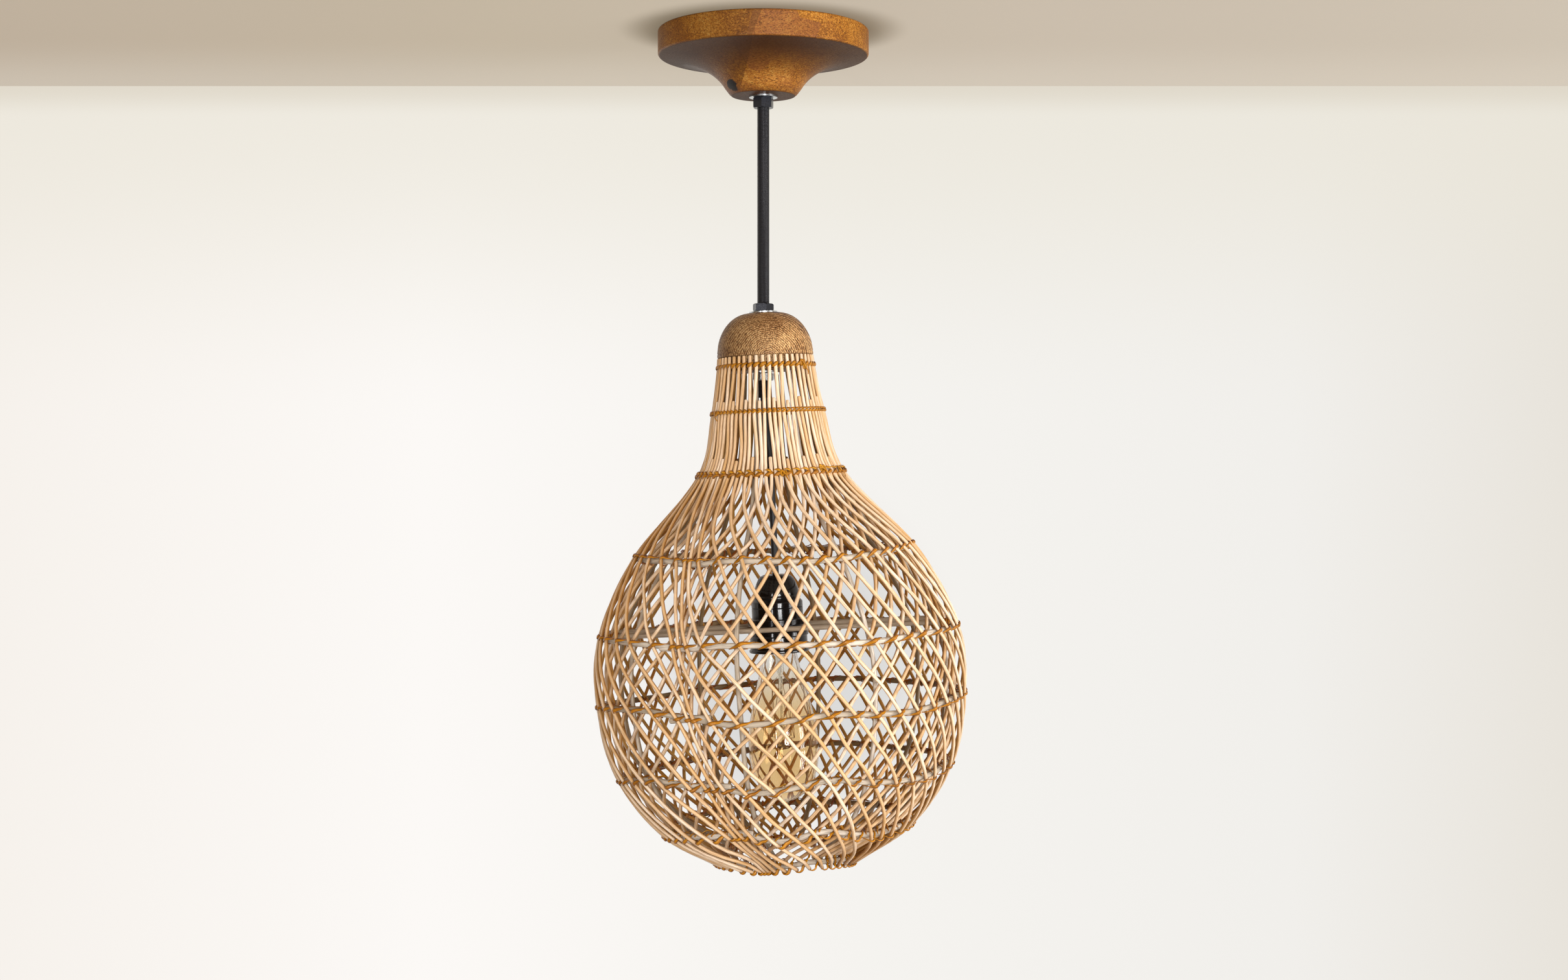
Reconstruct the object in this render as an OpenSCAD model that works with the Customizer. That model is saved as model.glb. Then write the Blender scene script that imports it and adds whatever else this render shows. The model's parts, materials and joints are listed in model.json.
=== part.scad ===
// Pendant ceiling light: a turned wooden canopy, a threaded down rod, a turned wooden cap and a
// pear-shaped shade of bound canes around a screw-in lampholder and its bulb.
// Millimetres, +Z up. The origin is on the rod's axis, in the plane of the ceiling.
// The shade hangs from the cap with a small lean, so its pieces are drawn in the cap's own frame:
// "drop" is the distance down the shade's axis from the flat top of the cap.

/* [Canopy] */
// Diameter of the canopy
canopy_d = 171; // [160:1:190]
// Height of its straight rim
canopy_rim_h = 21; // [19:0.5:26]
// Height from the ceiling to the flat under its boss
canopy_h = 53; // [50:0.5:60]
// Diameter of the flat under the boss
canopy_boss_d = 52; // [50:1:56]
// Wood left between the hollow and the rim's outside
canopy_wall = 23; // [18:0.5:25]
// Wood left under the wide hollow
canopy_floor = 5.5; // [4:0.5:7]
// Wood left under the boss's own bore
boss_floor = 15; // [12:0.5:18]
// Clearance of the canopy's hole on the rod, each side
canopy_fit = 0.3; // [0.2:0.05:0.5]

/* [Ceiling bracket] */
// Distance between the two ceiling screws
screw_span = 92; // [86:1:98]
// Diameter of the ceiling screw holes
screw_hole_d = 5; // [4:0.1:5.5]
// Width of the strap
strap_w = 20; // [18:0.5:22]
// Thickness of the strap
strap_t = 2; // [1.5:0.1:2.5]
// Depth from the ceiling to the underside of the web
bracket_drop = 22; // [20:0.5:23]
// Length of the lowered web
web_l = 72; // [68:0.5:74]

/* [Rod and fasteners] */
// Outside diameter of the threaded rod
rod_d = 10; // [9:0.1:11]
// Bore of the rod for the cable
rod_bore = 7; // [6.2:0.1:7.4]
// Depth from the ceiling to the rod's top end
rod_top = 13; // [11.5:0.25:14]
// Bare rod left below the inner nut
rod_stub = 14; // [8:0.5:20]
// Width across the flats of the rod nuts
nut_af = 15; // [14:1:17]
// Height of the nut under the canopy
canopy_nut_h = 8.5; // [6:0.25:10]
// Height of the thin rod nuts
thin_nut_h = 5; // [4:0.25:5.5]
// Height of the nut inside the shade
inner_nut_h = 6; // [5:0.25:8]
// Radial clearance between a nut and the rod's thread
thread_fit = 0.05; // [0.02:0.01:0.1]
// Outside diameter of the two cap washers and the canopy washer
washer_d = 23; // [21:0.5:26]
// Thickness of the washers
washer_t = 1.2; // [1:0.1:2]

/* [Wooden cap] */
// Distance from the ceiling to the flat top of the cap
cap_drop = 229; // [190:1:320]
// Radius of the cap at its foot
cap_r = 39; // [37.5:0.5:41]
// Radius of the flat on top of the cap
cap_flat_r = 12; // [11.6:0.2:16]
// Height of the rounded part
cap_dome_h = 34; // [28:0.5:36]
// Height of the upright lip at the foot
cap_lip_h = 1.2; // [0.6:0.1:2]
// Radius of the spigot that the canes lie on
spigot_r = 36; // [34:0.5:38]
// Height of the spigot below the lip
spigot_h = 11.8; // [10:0.2:14]
// Lean of the shade, its foot towards +X, in degrees
shade_lean = 2.7; // [0:0.1:3]

/* [Canes] */
// Number of canes in each of the two layers
cane_count = 48; // [40:2:48]
// Diameter of a cane
cane_d = 3.3; // [3:0.1:3.5]
// Turn of a cane about the axis from one hoop to the next, in degrees
cane_turn = 16; // [12:0.5:18]
// Length of cane left past the rim hoop
cane_tail = 4; // [2:0.5:6]
// Space between canes at the second neck binding
second_band_gap = 0.6; // [0.5:0.05:1]
// Space between canes at the third neck binding
third_band_gap = 0.5; // [0.4:0.05:0.8]
// Share by which canes crowd together along the crease
crease_pull = 0.38; // [0:0.02:0.4]
// Half width of the crease, in degrees
crease_w = 17; // [12:1:24]

/* [Shade outline] */
// Drop to the first neck binding
neck_1_drop = 43; // [41:0.5:46]
// Drop to the second neck binding
neck_2_drop = 80; // [74:1:86]
// Drop to the third neck binding
neck_3_drop = 129; // [122:1:134]
// Drop to hoop 1
hoop_1_drop = 194; // [186:1:200]
// Drop to hoop 2, which carries the lampholder bars
hoop_2_drop = 258; // [254:1:264]
// Drop to hoop 3
hoop_3_drop = 314; // [308:1:320]
// Drop to hoop 4
hoop_4_drop = 370; // [364:1:376]
// Drop to hoop 5
hoop_5_drop = 418; // [414:1:422]
// Drop to the rim hoop
rim_drop = 444; // [441:1:448]
// Outside radius of the shade at hoop 1
hoop_1_r = 116; // [110:1:122]
// Outside radius of the shade at hoop 2
hoop_2_r = 147; // [142:1:152]
// How much further out the shade stands at hoop 3 than at hoop 2
hoop_3_more = 3; // [0:0.5:5]
// Outside radius of the shade at hoop 4
hoop_4_r = 137; // [132:1:142]
// Outside radius of the shade at hoop 5
hoop_5_r = 102; // [98:1:106]
// Outside radius of the shade at the rim
rim_r = 60; // [57:1:64]

/* [Hoops, ribs and bindings] */
// Diameter of the hoops
hoop_d = 4.5; // [4:0.1:5]
// Number of upright ribs
rib_count = 8; // [6:1:8]
// Diameter of the ribs
rib_d = 3.8; // [3.4:0.1:4.2]
// Azimuth of the first rib from the front, in degrees
rib_start = -13.5; // [-16:0.5:-10]
// Space between a cane and the hoop under it
hoop_gap = 0.4; // [0.35:0.05:0.6]
// Width of the bark strip
bark_w = 3; // [2.4:0.1:3.4]
// Thickness of the bark strip
bark_t = 0.7; // [0.5:0.05:0.9]
// Space between the bark and what it binds
bark_fit = 0.28; // [0.25:0.01:0.32]

/* [Lampholder] */
// Height of the lampholder above the foot of its flange
holder_h = 40.5; // [38:0.5:48]
// Radius of the cover's cable boss
boss_r = 9.4; // [8.5:0.1:11]
// Radius of the cover's shoulder
shoulder_r = 17; // [16:0.1:18]
// Radius of the lampholder's barrel
barrel_r = 20.8; // [20.6:0.1:22]
// Radius of the flange above the bars
flange_r = 24.4; // [23.8:0.1:26]
// Thickness of the flange
flange_t = 4.9; // [4:0.1:5.5]
// Radius of the threaded skirt
skirt_r = 19.4; // [19:0.1:19.8]
// Height of the shade ring
ring_h = 17.5; // [14:0.5:19]
// Wall of the plastic shells
shell_t = 2; // [1.6:0.1:2.1]
// Diameter of the two cane bars that carry the lampholder
bar_d = 4.2; // [4:0.1:5.2]
// Space above and below the bars
bar_fit = 0.2; // [0.15:0.05:0.4]
// Distance between the axes of the two bars
bar_spacing = 49; // [48:0.5:50]

/* [Bulb] */
// Greatest diameter of the glass
bulb_d = 57; // [50:1:60]
// Length of the bulb from its contact to the tip of the glass
bulb_l = 150; // [140:1:152]
// Diameter of the screw cap
bulb_cap_d = 26.4; // [26:0.1:26.6]
// Wall of the glass
glass_t = 1; // [0.8:0.1:1.2]

/* [Wiring] */
// Diameter of the cable's sheath
cable_d = 5.4; // [4.8:0.1:5.6]
// Diameter of one insulated conductor
wire_d = 1.8; // [1.4:0.1:2]

/* [Hidden] */

$fn = 96;
hair = 0.01;             // overlap that makes two drawn shapes one, and play of parts that touch
canopy_r = canopy_d / 2;
hollow_r = canopy_r - canopy_wall;
hollow_depth = canopy_rim_h - canopy_floor;
web_hollow_r = norm([web_l / 2, strap_w / 2]) + 2.6;
web_hollow_depth = bracket_drop + 2;
boss_bore_r = nut_af * 1.3;
nut_r = nut_af / sqrt(3);
rod_r = rod_d / 2;
nut_bore_r = rod_r + thread_fit;
washer_bore_r = rod_r + 0.3;
seat_lift = nut_r * tan(shade_lean);    // a level nut rests on one edge of a leaning washer
cap_foot = cap_dome_h + cap_lip_h;
cap_depth = cap_foot + spigot_h;
cap_offset = cap_depth / 2 * tan(shade_lean);
cap_bore_r = rod_r + cap_offset + 0.5;
cap_under = cap_drop + cap_depth / cos(shade_lean);
inner_nut_top = cap_under + washer_t / cos(shade_lean) + seat_lift;
rod_foot = inner_nut_top + inner_nut_h + rod_stub;

hoop_3_r = hoop_2_r + hoop_3_more;

// Depths below the outer skin of the shade, from the outside in.
cane_r = cane_d / 2;
hoop_depth = cane_d + hoop_gap + hoop_d / 2;
inner_depth = hoop_depth + hoop_d / 2 + 0.6 + cane_r;
rib_depth = inner_depth + cane_r + 2 * bark_fit + bark_t + rib_d / 2;
neck_rib_depth = cane_d + 2 * bark_fit + bark_t + rib_d / 2;

pitch = 360 / cane_count;
cane_top = cap_foot + 0.3;
neck_1_r = spigot_r + 0.65 + cane_d;
neck_2_r = 1.5 * cane_count * (cane_d + second_band_gap) / (2 * PI) + cane_r;
neck_3_r = 2 * cane_count * (cane_d + third_band_gap) / (2 * PI) + cane_r;
rim_slope = (rim_r - hoop_5_r) / (rim_drop - hoop_5_drop);
tail_drop = cane_tail / norm([1, rim_slope]);
cane_end = rim_drop + tail_drop;
outline_drop = [
    cane_top, neck_1_drop, neck_2_drop, neck_3_drop, hoop_1_drop, hoop_2_drop, hoop_3_drop,
    hoop_4_drop, hoop_5_drop, rim_drop, cane_end
];
outline_r = [
    neck_1_r - 0.5, neck_1_r, neck_2_r, neck_3_r, hoop_1_r, hoop_2_r, hoop_3_r, hoop_4_r,
    hoop_5_r, rim_r, rim_r + rim_slope * tail_drop
];
turn_drop = [
    neck_3_drop, hoop_1_drop, hoop_2_drop, hoop_3_drop, hoop_4_drop, hoop_5_drop, rim_drop,
    cane_end
];
turn_bays = [0, 1, 2, 3, 4, 5, 6, 6 + tail_drop / (rim_drop - hoop_5_drop)];

// ---- the shade's surface ----

function smooth(t) = let (u = max(0, min(1, t))) u * u * (3 - 2 * u);
function slope(x, y, i) =
    let (a = max(i - 1, 0), b = min(i + 1, len(x) - 1)) (y[b] - y[a]) / (x[b] - x[a]);
function span(x, v, i = 0) = (i >= len(x) - 2 || v < x[i + 1]) ? i : span(x, v, i + 1);

// Smooth curve through the points (x, y), read at v.
function curve(x, y, v) =
    let (
        i = span(x, v),
        h = x[i + 1] - x[i],
        t = (v - x[i]) / h,
        lead = h * slope(x, y, i) * (t ^ 3 - 2 * t ^ 2 + t),
        trail = h * slope(x, y, i + 1) * (t ^ 3 - t ^ 2)
    )
    y[i] * (2 * t ^ 3 - 3 * t ^ 2 + 1) + y[i + 1] * (3 * t ^ 2 - 2 * t ^ 3) + lead + trail;

function shade_r(drop) = curve(outline_drop, outline_r, drop);
function flare(drop) = (shade_r(drop + 0.1) - shade_r(drop - 0.1)) / 0.2;

// [radius, drop] of a point at a depth square below the skin.
function skin(drop, depth) =
    let (f = flare(drop), n = norm([1, f])) [shade_r(drop) - depth / n, drop + depth * f / n];
function skin_point(drop, depth, azimuth) =
    let (s = skin(drop, depth)) [s[0] * sin(azimuth), -s[0] * cos(azimuth), -s[1]];

// Bays passed since the third neck binding, easing in over the first bay.
function bays(drop) =
    drop < neck_3_drop ? 0 :
    drop < hoop_1_drop ? let (q = first_bay(drop)) q * q * (2 - q) :
    curve(turn_drop, turn_bays, drop);
function first_bay(drop) = max(0, min(1, (drop - neck_3_drop) / (hoop_1_drop - neck_3_drop)));

// Canes crowd towards a crease that drifts across the front on its way down.
function crease_azimuth(drop) = -56 + 34 * (drop - neck_3_drop) / (rim_drop - neck_3_drop);
function wrapped(a) = a - 360 * floor((a + 180) / 360);
function crowded(azimuth, drop) =
    let (away = wrapped(azimuth - crease_azimuth(drop)))
    azimuth - crease_pull * first_bay(drop) * away * exp(-(away / crease_w) ^ 2);

// Between the neck bindings the canes make room for the ones that start there.
function spread(drop) =
    drop < neck_2_drop ? smooth((drop - neck_1_drop) / (neck_2_drop - neck_1_drop)) :
    1 - smooth((drop - neck_2_drop) / (0.75 * (neck_3_drop - neck_2_drop)));

bar_y = bar_spacing / 2;
bar_drop = skin(hoop_2_drop, hoop_depth)[1] - hoop_d / 2 - bar_d / 2 - 0.15;
bar_reach = skin(hoop_2_drop, hoop_depth)[0] - 0.8;
bar_skin_drop = 2 * bar_drop - skin(bar_drop, inner_depth)[1];
cane_phase = cane_turn * bays(bar_skin_drop) - pitch / 2;  // an inner cane between the two bars

function outer_azimuth(n, drop) =
    let (cell = 2 * pitch * floor(n / 2), room = pitch - pitch / 3 * spread(drop))
    crowded(cane_phase + cell + (n % 2) * room + cane_turn * bays(drop), drop);
function inner_azimuth(n, drop) =
    let (
        cell = 2 * pitch * floor(n / 2),
        early = 1.5 * pitch - pitch / 6 * spread(drop),
        late = (pitch - pitch / 3 * spread(drop)) / 2,
        place = n % 2 == 1 ? early : late
    )
    crowded(cane_phase + cell + place - cane_turn * bays(drop), drop);

function layer_depth(drop, neck_depth, full_depth) =
    neck_depth + (full_depth - neck_depth) * min(1, first_bay(drop) / 0.55);
function halfway(a, b) = (a + b) / 2;
function between_hoops() = [
    neck_3_drop,
    for (q = [0.15, 0.32, 0.55]) neck_3_drop + q * (hoop_1_drop - neck_3_drop),
    for (i = [4:8]) each [outline_drop[i], halfway(outline_drop[i], outline_drop[i + 1])],
    rim_drop,
    cane_end
];
neck_middle = halfway(neck_2_drop, neck_3_drop);
function cane_start(n) =
    n % 2 == 1 ? neck_2_drop - 9 - 1.5 * sin(n * 97) : neck_3_drop - 12 - 1.5 * sin(n * 61);

// ---- swept tubes ----

function unit(v) = v / norm(v);
function along(path, i) = unit(path[min(i + 1, len(path) - 1)] - path[max(i - 1, 0)]);
function ring_points(centre, direction, side, r, sides) =
    let (a = unit(side - (side * direction) * direction), b = cross(direction, a))
    [for (k = [0:sides - 1]) centre + r * (cos(360 * k / sides) * a + sin(360 * k / sides) * b)];

// A tube of the given radius along a path; refs holds one sideways direction for each point.
module sweep(path, refs, r, sides) {
    last = len(path) - 1;
    points = [for (i = [0:last]) each ring_points(path[i], along(path, i), refs[i], r, sides)];
    walls = [
        for (i = [0:last - 1], k = [0:sides - 1])
            let (a = i * sides + k, b = i * sides + (k + 1) % sides)
            each [[a, a + sides, b + sides], [a, b + sides, b]]
    ];
    start_cap = [for (k = [0:sides - 1]) k];
    end_cap = [for (k = [sides - 1:-1:0]) last * sides + k];
    polyhedron(points, concat([start_cap], walls, [end_cap]));
}

module wire(path, d, side = [0, 1, 0]) sweep(path, [for (p = path) side], d / 2, 6);

// ---- placing and small shapes ----

module in_shade() translate([0, 0, -cap_drop]) rotate([0, -shade_lean, 0]) children();

// A turned body: the profile's points are [radius, drop].
module turned(profile) rotate_extrude() polygon([for (p = profile) [p[0], -p[1]]]);

module tube(outer_r, inner_r, top, foot)
    turned([[inner_r, top], [outer_r, top], [outer_r, foot], [inner_r, foot]]);

module washer(outer_r, t) tube(outer_r, washer_bore_r, -t, 0);

// A hexagon nut standing on z = 0 with both rims chamfered.
module nut(h) {
    chamfer = 0.9;
    difference() {
        intersection() {
            cylinder(r = nut_r, h = h, $fn = 6);
            turned([
                [0, 0], [nut_r - chamfer, 0], [nut_r, -chamfer], [nut_r, chamfer - h],
                [nut_r - chamfer, -h], [0, -h]
            ]);
        }
        translate([0, 0, -1]) cylinder(r = nut_bore_r, h = h + 2);
    }
}

module place(x_axis, y_axis, z_axis, origin)
    multmatrix([for (i = [0:2]) [x_axis[i], y_axis[i], z_axis[i], origin[i]]]) children();

// A strap over a round stick that lies along Y: two legs reach down to what the stick lies on.
module strap(stick_d, gap) {
    inside = stick_d / 2 + bark_fit;
    foot = -stick_d / 2 - gap + 0.15;
    difference() {
        translate([-inside - bark_t, -bark_w / 2, foot])
            cube([2 * (inside + bark_t), bark_w, inside + bark_t - foot]);
        translate([-inside, -bark_w, foot - 1]) cube([2 * inside, 2 * bark_w, inside - foot + 1]);
    }
}

// ---- ceiling bracket and its fasteners ----

foot_end = screw_span / 2 + 10;
web_end = web_l / 2;
block_size = [30, 17, 12];
block_corner = [17, 17.5, -strap_t - block_size[2]];
earth_x = -0.36 * web_l;
small_hole_r = 1.7;

module ceiling_bracket() color("silver") difference() {
    union() {
        for (side = [-1, 1]) scale_x(side) {
            translate([web_end - strap_t, -strap_w / 2, -strap_t])
                cube([foot_end - web_end + strap_t, strap_w, strap_t]);
            translate([web_end - strap_t, -strap_w / 2, -bracket_drop])
                cube([strap_t, strap_w, bracket_drop - hair]);
        }
        translate([-web_end + hair, -strap_w / 2, -bracket_drop])
            cube([web_l - 2 * hair, strap_w, strap_t]);
        translate([block_corner[0] + 3, strap_w / 2 - 6, -strap_t])
            cube([web_end - block_corner[0], block_size[1] + 11, strap_t]);
    }
    for (side = [-1, 1]) translate([side * screw_span / 2, 0, -strap_t - 1])
        cylinder(d = screw_hole_d, h = strap_t + 2);
    translate([0, 0, -bracket_drop - 1]) cylinder(r = washer_bore_r, h = strap_t + 2);
    translate([earth_x, 0, -bracket_drop - 1]) cylinder(r = small_hole_r, h = strap_t + 2);
    translate([block_screw_x, block_screw_y, -strap_t - 1])
        cylinder(r = small_hole_r, h = strap_t + 2);
}

module scale_x(side) mirror([side < 0 ? 1 : 0, 0, 0]) children();

block_screw_x = block_corner[0] + block_size[0] / 3;
block_screw_y = block_corner[1] + block_size[1] / 2;

// The earth screw stands in the web; the other holds the terminal block under its ledge.
module bracket_screws() color("goldenrod") {
    shank_r = small_hole_r - thread_fit;
    translate([earth_x, 0, -bracket_drop - 0.8]) cylinder(r = shank_r, h = strap_t + 1);
    translate([earth_x, 0, strap_t - bracket_drop + 0.1]) cylinder(r = 3.4, h = 2.4);
    translate([block_screw_x, block_screw_y, block_corner[2] + 1.2])
        cylinder(r = shank_r, h = block_size[2] + strap_t - 1.4);
    translate([block_screw_x, block_screw_y, block_corner[2] - 0.4]) cylinder(r = 2.7, h = 1.7);
}

module rod_nut(z, h, turn) translate([0, 0, z]) rotate([0, 0, turn]) nut(h);

module upper_rod_nut() color("silver") rod_nut(strap_t - bracket_drop, thin_nut_h, 0);

module lock_washer() color("silver") difference() {
    translate([0, 0, -bracket_drop]) washer(nut_r, -washer_t);
    translate([rod_r, 0, -bracket_drop]) rotate([0, 12, 0])
        cube([nut_af, 1.2, 4 * washer_t], center = true);
}

module lower_rod_nut() color("silver")
    rod_nut(-bracket_drop - washer_t - thin_nut_h, thin_nut_h, 8);

tunnel_x = [for (k = [0:2]) block_corner[0] + block_size[0] * (k + 0.5) / 3];
tunnel_z = block_corner[2] + 6;
screw_y = [for (k = [0, 1]) block_corner[1] + block_size[1] * (0.2 + 0.6 * k)];

module terminal_block() color("whitesmoke") difference() {
    translate(block_corner) cube([block_size[0], block_size[1], block_size[2] - 0.1]);
    for (x = tunnel_x) {
        translate([x, block_corner[1] - 1, tunnel_z]) rotate([-90, 0, 0])
            cylinder(r = 2.3, h = block_size[1] + 2);
        for (y = screw_y) translate([x, y, block_corner[2] - 1]) cylinder(r = 2, h = 6);
    }
    translate([block_screw_x, block_screw_y, block_corner[2] - 1])
        cylinder(r = small_hole_r, h = block_size[2] + 2);
    translate([block_screw_x, block_screw_y, block_corner[2] - 1]) cylinder(r = 2.9, h = 2.3);
}

// Three brass barrels in the block's tunnels, each with its two clamping screws.
module terminal_screws() color("goldenrod") for (x = tunnel_x) difference() {
    union() {
        translate([x, block_corner[1] + 0.8, tunnel_z]) rotate([-90, 0, 0])
            cylinder(r = 2.25, h = block_size[1] - 1.6);
        for (y = screw_y) translate([x, y, block_corner[2] + 1]) cylinder(r = 1.9, h = 4.4);
    }
    translate([x, block_corner[1], tunnel_z]) rotate([-90, 0, 0])
        cylinder(r = wire_d / 2 + 0.1, h = block_size[1] + 1);
    for (y = screw_y) translate([x - 2, y - 0.3, block_corner[2] + 0.5]) cube([4, 0.6, 1.2]);
}

// ---- canopy ----

function bend(a, b, c, t) = (1 - t) ^ 2 * a + 2 * t * (1 - t) * b + t ^ 2 * c;

module canopy() color("peru") {
    boss_r = canopy_boss_d / 2;
    edge = 1.2;
    cove_out = [canopy_r - edge, canopy_rim_h];
    cove_mid = [boss_r + 0.3 * (canopy_r - boss_r), canopy_rim_h + 4.5];
    cove_in = [boss_r + 5, canopy_h - 6];
    hole_r = rod_r + canopy_fit;
    boss_bore_depth = canopy_h - boss_floor;
    turned([
        [hollow_r, 0], [canopy_r - edge, 0], [canopy_r, edge], [canopy_r, canopy_rim_h - edge],
        for (t = [0:0.1:1]) bend(cove_out, cove_mid, cove_in, t),
        [boss_r + 1.6, canopy_h - 1.6], [boss_r - 0.4, canopy_h], [hole_r, canopy_h],
        [hole_r, boss_bore_depth], [boss_bore_r, boss_bore_depth],
        [boss_bore_r, web_hollow_depth], [web_hollow_r, web_hollow_depth],
        [web_hollow_r, hollow_depth], [hollow_r, hollow_depth]
    ]);
}

module canopy_washer() color("silver")
    translate([0, 0, -canopy_h]) washer(washer_d / 2, -washer_t);

module canopy_nut() color("#26272c")
    rod_nut(-canopy_h - washer_t - canopy_nut_h, canopy_nut_h, 20);

// ---- rod, cap and their nuts ----

module rod() color("#2a2a30") tube(rod_r, rod_bore / 2, rod_top, rod_foot);

module cap_nut() color("#26272c")
    rod_nut(-cap_drop + washer_t / cos(shade_lean) + seat_lift, inner_nut_h, 47);

module cap_washer() color("silver") in_shade() washer(washer_d / 2, washer_t);

module wooden_cap() color("burlywood") in_shade() difference() {
    dome_w = cap_r - cap_flat_r;
    turned([
        [0, 0],
        for (a = [90:-7.5:0]) [cap_flat_r + dome_w * cos(a), cap_dome_h * (1 - sin(a))],
        [cap_r, cap_foot - 0.4], [cap_r - 0.4, cap_foot], [spigot_r, cap_foot],
        [spigot_r, cap_depth - 1], [spigot_r - 1, cap_depth], [0, cap_depth]
    ]);
    translate([-cap_offset, 0, -cap_depth - 1]) cylinder(r = cap_bore_r, h = cap_depth + 2);
}

module inner_washer() color("silver")
    translate([0, 0, -cap_under]) rotate([0, -shade_lean, 0]) washer(washer_d / 2, -washer_t);

module inner_nut() color("silver") rod_nut(-inner_nut_top - inner_nut_h, inner_nut_h, 15);

// ---- canes, ribs and hoops ----

module cane(drops, azimuths, neck_depth, full_depth, r, sides) {
    path = [
        for (i = [0:len(drops) - 1])
            skin_point(drops[i], layer_depth(drops[i], neck_depth, full_depth), azimuths[i])
    ];
    refs = [for (a = azimuths) [sin(a), -cos(a), 0]];
    sweep(path, refs, r, sides);
}

module outer_canes() color("wheat") in_shade() {
    drops = [cane_top, neck_1_drop, neck_2_drop, neck_middle, each between_hoops()];
    for (n = [0:cane_count - 1])
        cane(drops, [for (d = drops) outer_azimuth(n, d)], cane_r, cane_r, cane_r, 5);
}

module inner_canes() color("tan") in_shade() for (n = [0:cane_count - 1]) {
    early = n % 2 == 1 ? [neck_2_drop, neck_middle] : [];
    drops = [cane_start(n), each early, each between_hoops()];
    cane(drops, [for (d = drops) inner_azimuth(n, d)], cane_r, inner_depth, cane_r, 5);
}

module ribs() color("#b9ad98") in_shade() {
    drops = [cap_depth + 0.6, neck_2_drop, neck_middle, each between_hoops()];
    for (k = [0:rib_count - 1]) {
        azimuth = rib_start + 360 * k / rib_count;
        cane(drops, [for (d = drops) azimuth], neck_rib_depth, rib_depth, rib_d / 2, 6);
    }
}

module hoop(drop) {
    s = skin(drop, hoop_depth);
    color("#c2b8a4") in_shade() translate([0, 0, -s[1]])
        rotate_extrude() translate([s[0], 0]) circle(d = hoop_d, $fn = 24);
}

module hoop_1() hoop(hoop_1_drop);
module hoop_2() hoop(hoop_2_drop);
module hoop_3() hoop(hoop_3_drop);
module hoop_4() hoop(hoop_4_drop);
module hoop_5() hoop(hoop_5_drop);
module rim_hoop() hoop(rim_drop);

// ---- bark bindings ----

function edge_of_ring(drop, depth, next_drop, next_depth) =
    let (a = skin(drop, depth), b = skin(next_drop, next_depth)) a + bark_w / 2 * unit(b - a);

// A flat ring of bark at a depth below the skin. It runs with the canes towards their next
// points above and below, which lie "deeper" below the skin at the lower one.
module bark_ring(drop, depth, above, below, deeper = 0) {
    back = depth + bark_t;
    turned([
        edge_of_ring(drop, depth, above, depth), edge_of_ring(drop, back, above, back),
        skin(drop, back), edge_of_ring(drop, back, below, back + deeper),
        edge_of_ring(drop, depth, below, depth + deeper), skin(drop, depth)
    ]);
}

// Twined binding of the neck: one ring outside the canes and one inside them.
module neck_binding(drop, above, below, deeper) color("#c98524") in_shade() {
    bark_ring(drop, -bark_fit - bark_t, above, below);
    bark_ring(drop, cane_d + bark_fit, above, below, deeper);
}

module neck_binding_1() color("#c98524") in_shade()
    bark_ring(neck_1_drop, -bark_fit - bark_t, cane_top, neck_2_drop);
module neck_binding_2() neck_binding(neck_2_drop, neck_1_drop, neck_middle, 0);
module neck_binding_3() {
    below = between_hoops()[1];
    neck_binding(neck_3_drop, neck_middle, below, layer_depth(below, 0, inner_depth - cane_r));
}

// One strap over every outer cane where it crosses a hoop.
module ties(drop) color("#c98524") in_shade() for (n = [0:cane_count - 1]) {
    here = skin_point(drop, cane_r, outer_azimuth(n, drop));
    above = skin_point(drop - 1, cane_r, outer_azimuth(n, drop - 1));
    below = skin_point(drop + 1, cane_r, outer_azimuth(n, drop + 1));
    run = unit(below - above);
    out = here - skin_point(drop, cane_r + 1, outer_azimuth(n, drop));
    normal = unit(out - (out * run) * run);
    place(cross(run, normal), run, normal, here) strap(cane_d, hoop_gap);
}

module ties_1() ties(hoop_1_drop);
module ties_2() ties(hoop_2_drop);
module ties_3() ties(hoop_3_drop);
module ties_4() ties(hoop_4_drop);
module ties_5() ties(hoop_5_drop);

module rim_binding() color("#c98524") in_shade() {
    above = halfway(hoop_5_drop, rim_drop);
    bark_ring(rim_drop, -bark_fit - bark_t, above, cane_end);
    bark_ring(rim_drop, inner_depth + cane_r + bark_fit, above, cane_end);
}

// ---- bars that carry the lampholder ----

bar_half = sqrt(bar_reach ^ 2 - bar_y ^ 2);

module bridge_bars() color("#b9ad98") in_shade() for (side = [-1, 1])
    translate([-bar_half, side * bar_y, -bar_drop]) rotate([0, 90, 0])
        cylinder(d = bar_d, h = 2 * bar_half);

module bridge_ties() color("#c98524") in_shade() for (end = [-1, 1], side = [-1, 1])
    place([0, 1, 0], [1, 0, 0], [0, 0, 1],
          [end * (bar_half - bark_w / 2 - 0.25), side * bar_y, -bar_drop])
        strap(bar_d, 0.15);

// ---- lampholder ----

flange_foot = bar_drop - bar_d / 2 - bar_fit;
holder_drop = flange_foot - holder_h;
// How far the cable's sheath reaches into the lampholder
cable_in = 11;
ring_top = bar_drop + bar_d / 2 + bar_fit;
ring_foot = ring_top + ring_h;
skirt_foot = ring_foot - 1;
flange_top = flange_foot - flange_t;
shell_split = flange_top - 9;
sleeve_r = bulb_cap_d / 2 + 0.5;
sleeve_t = 0.7;
contact_drop = ring_foot - 26.8;      // where the bulb's contact ends
insert_foot = contact_drop - 4.2;
insert_top = insert_foot - 9;
bore_r = skirt_r - shell_t;
shelf_r = sleeve_r + sleeve_t + 0.3;
shelf_t = 1.8;
grip_r = 5;
terminal_x = 8;

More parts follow.
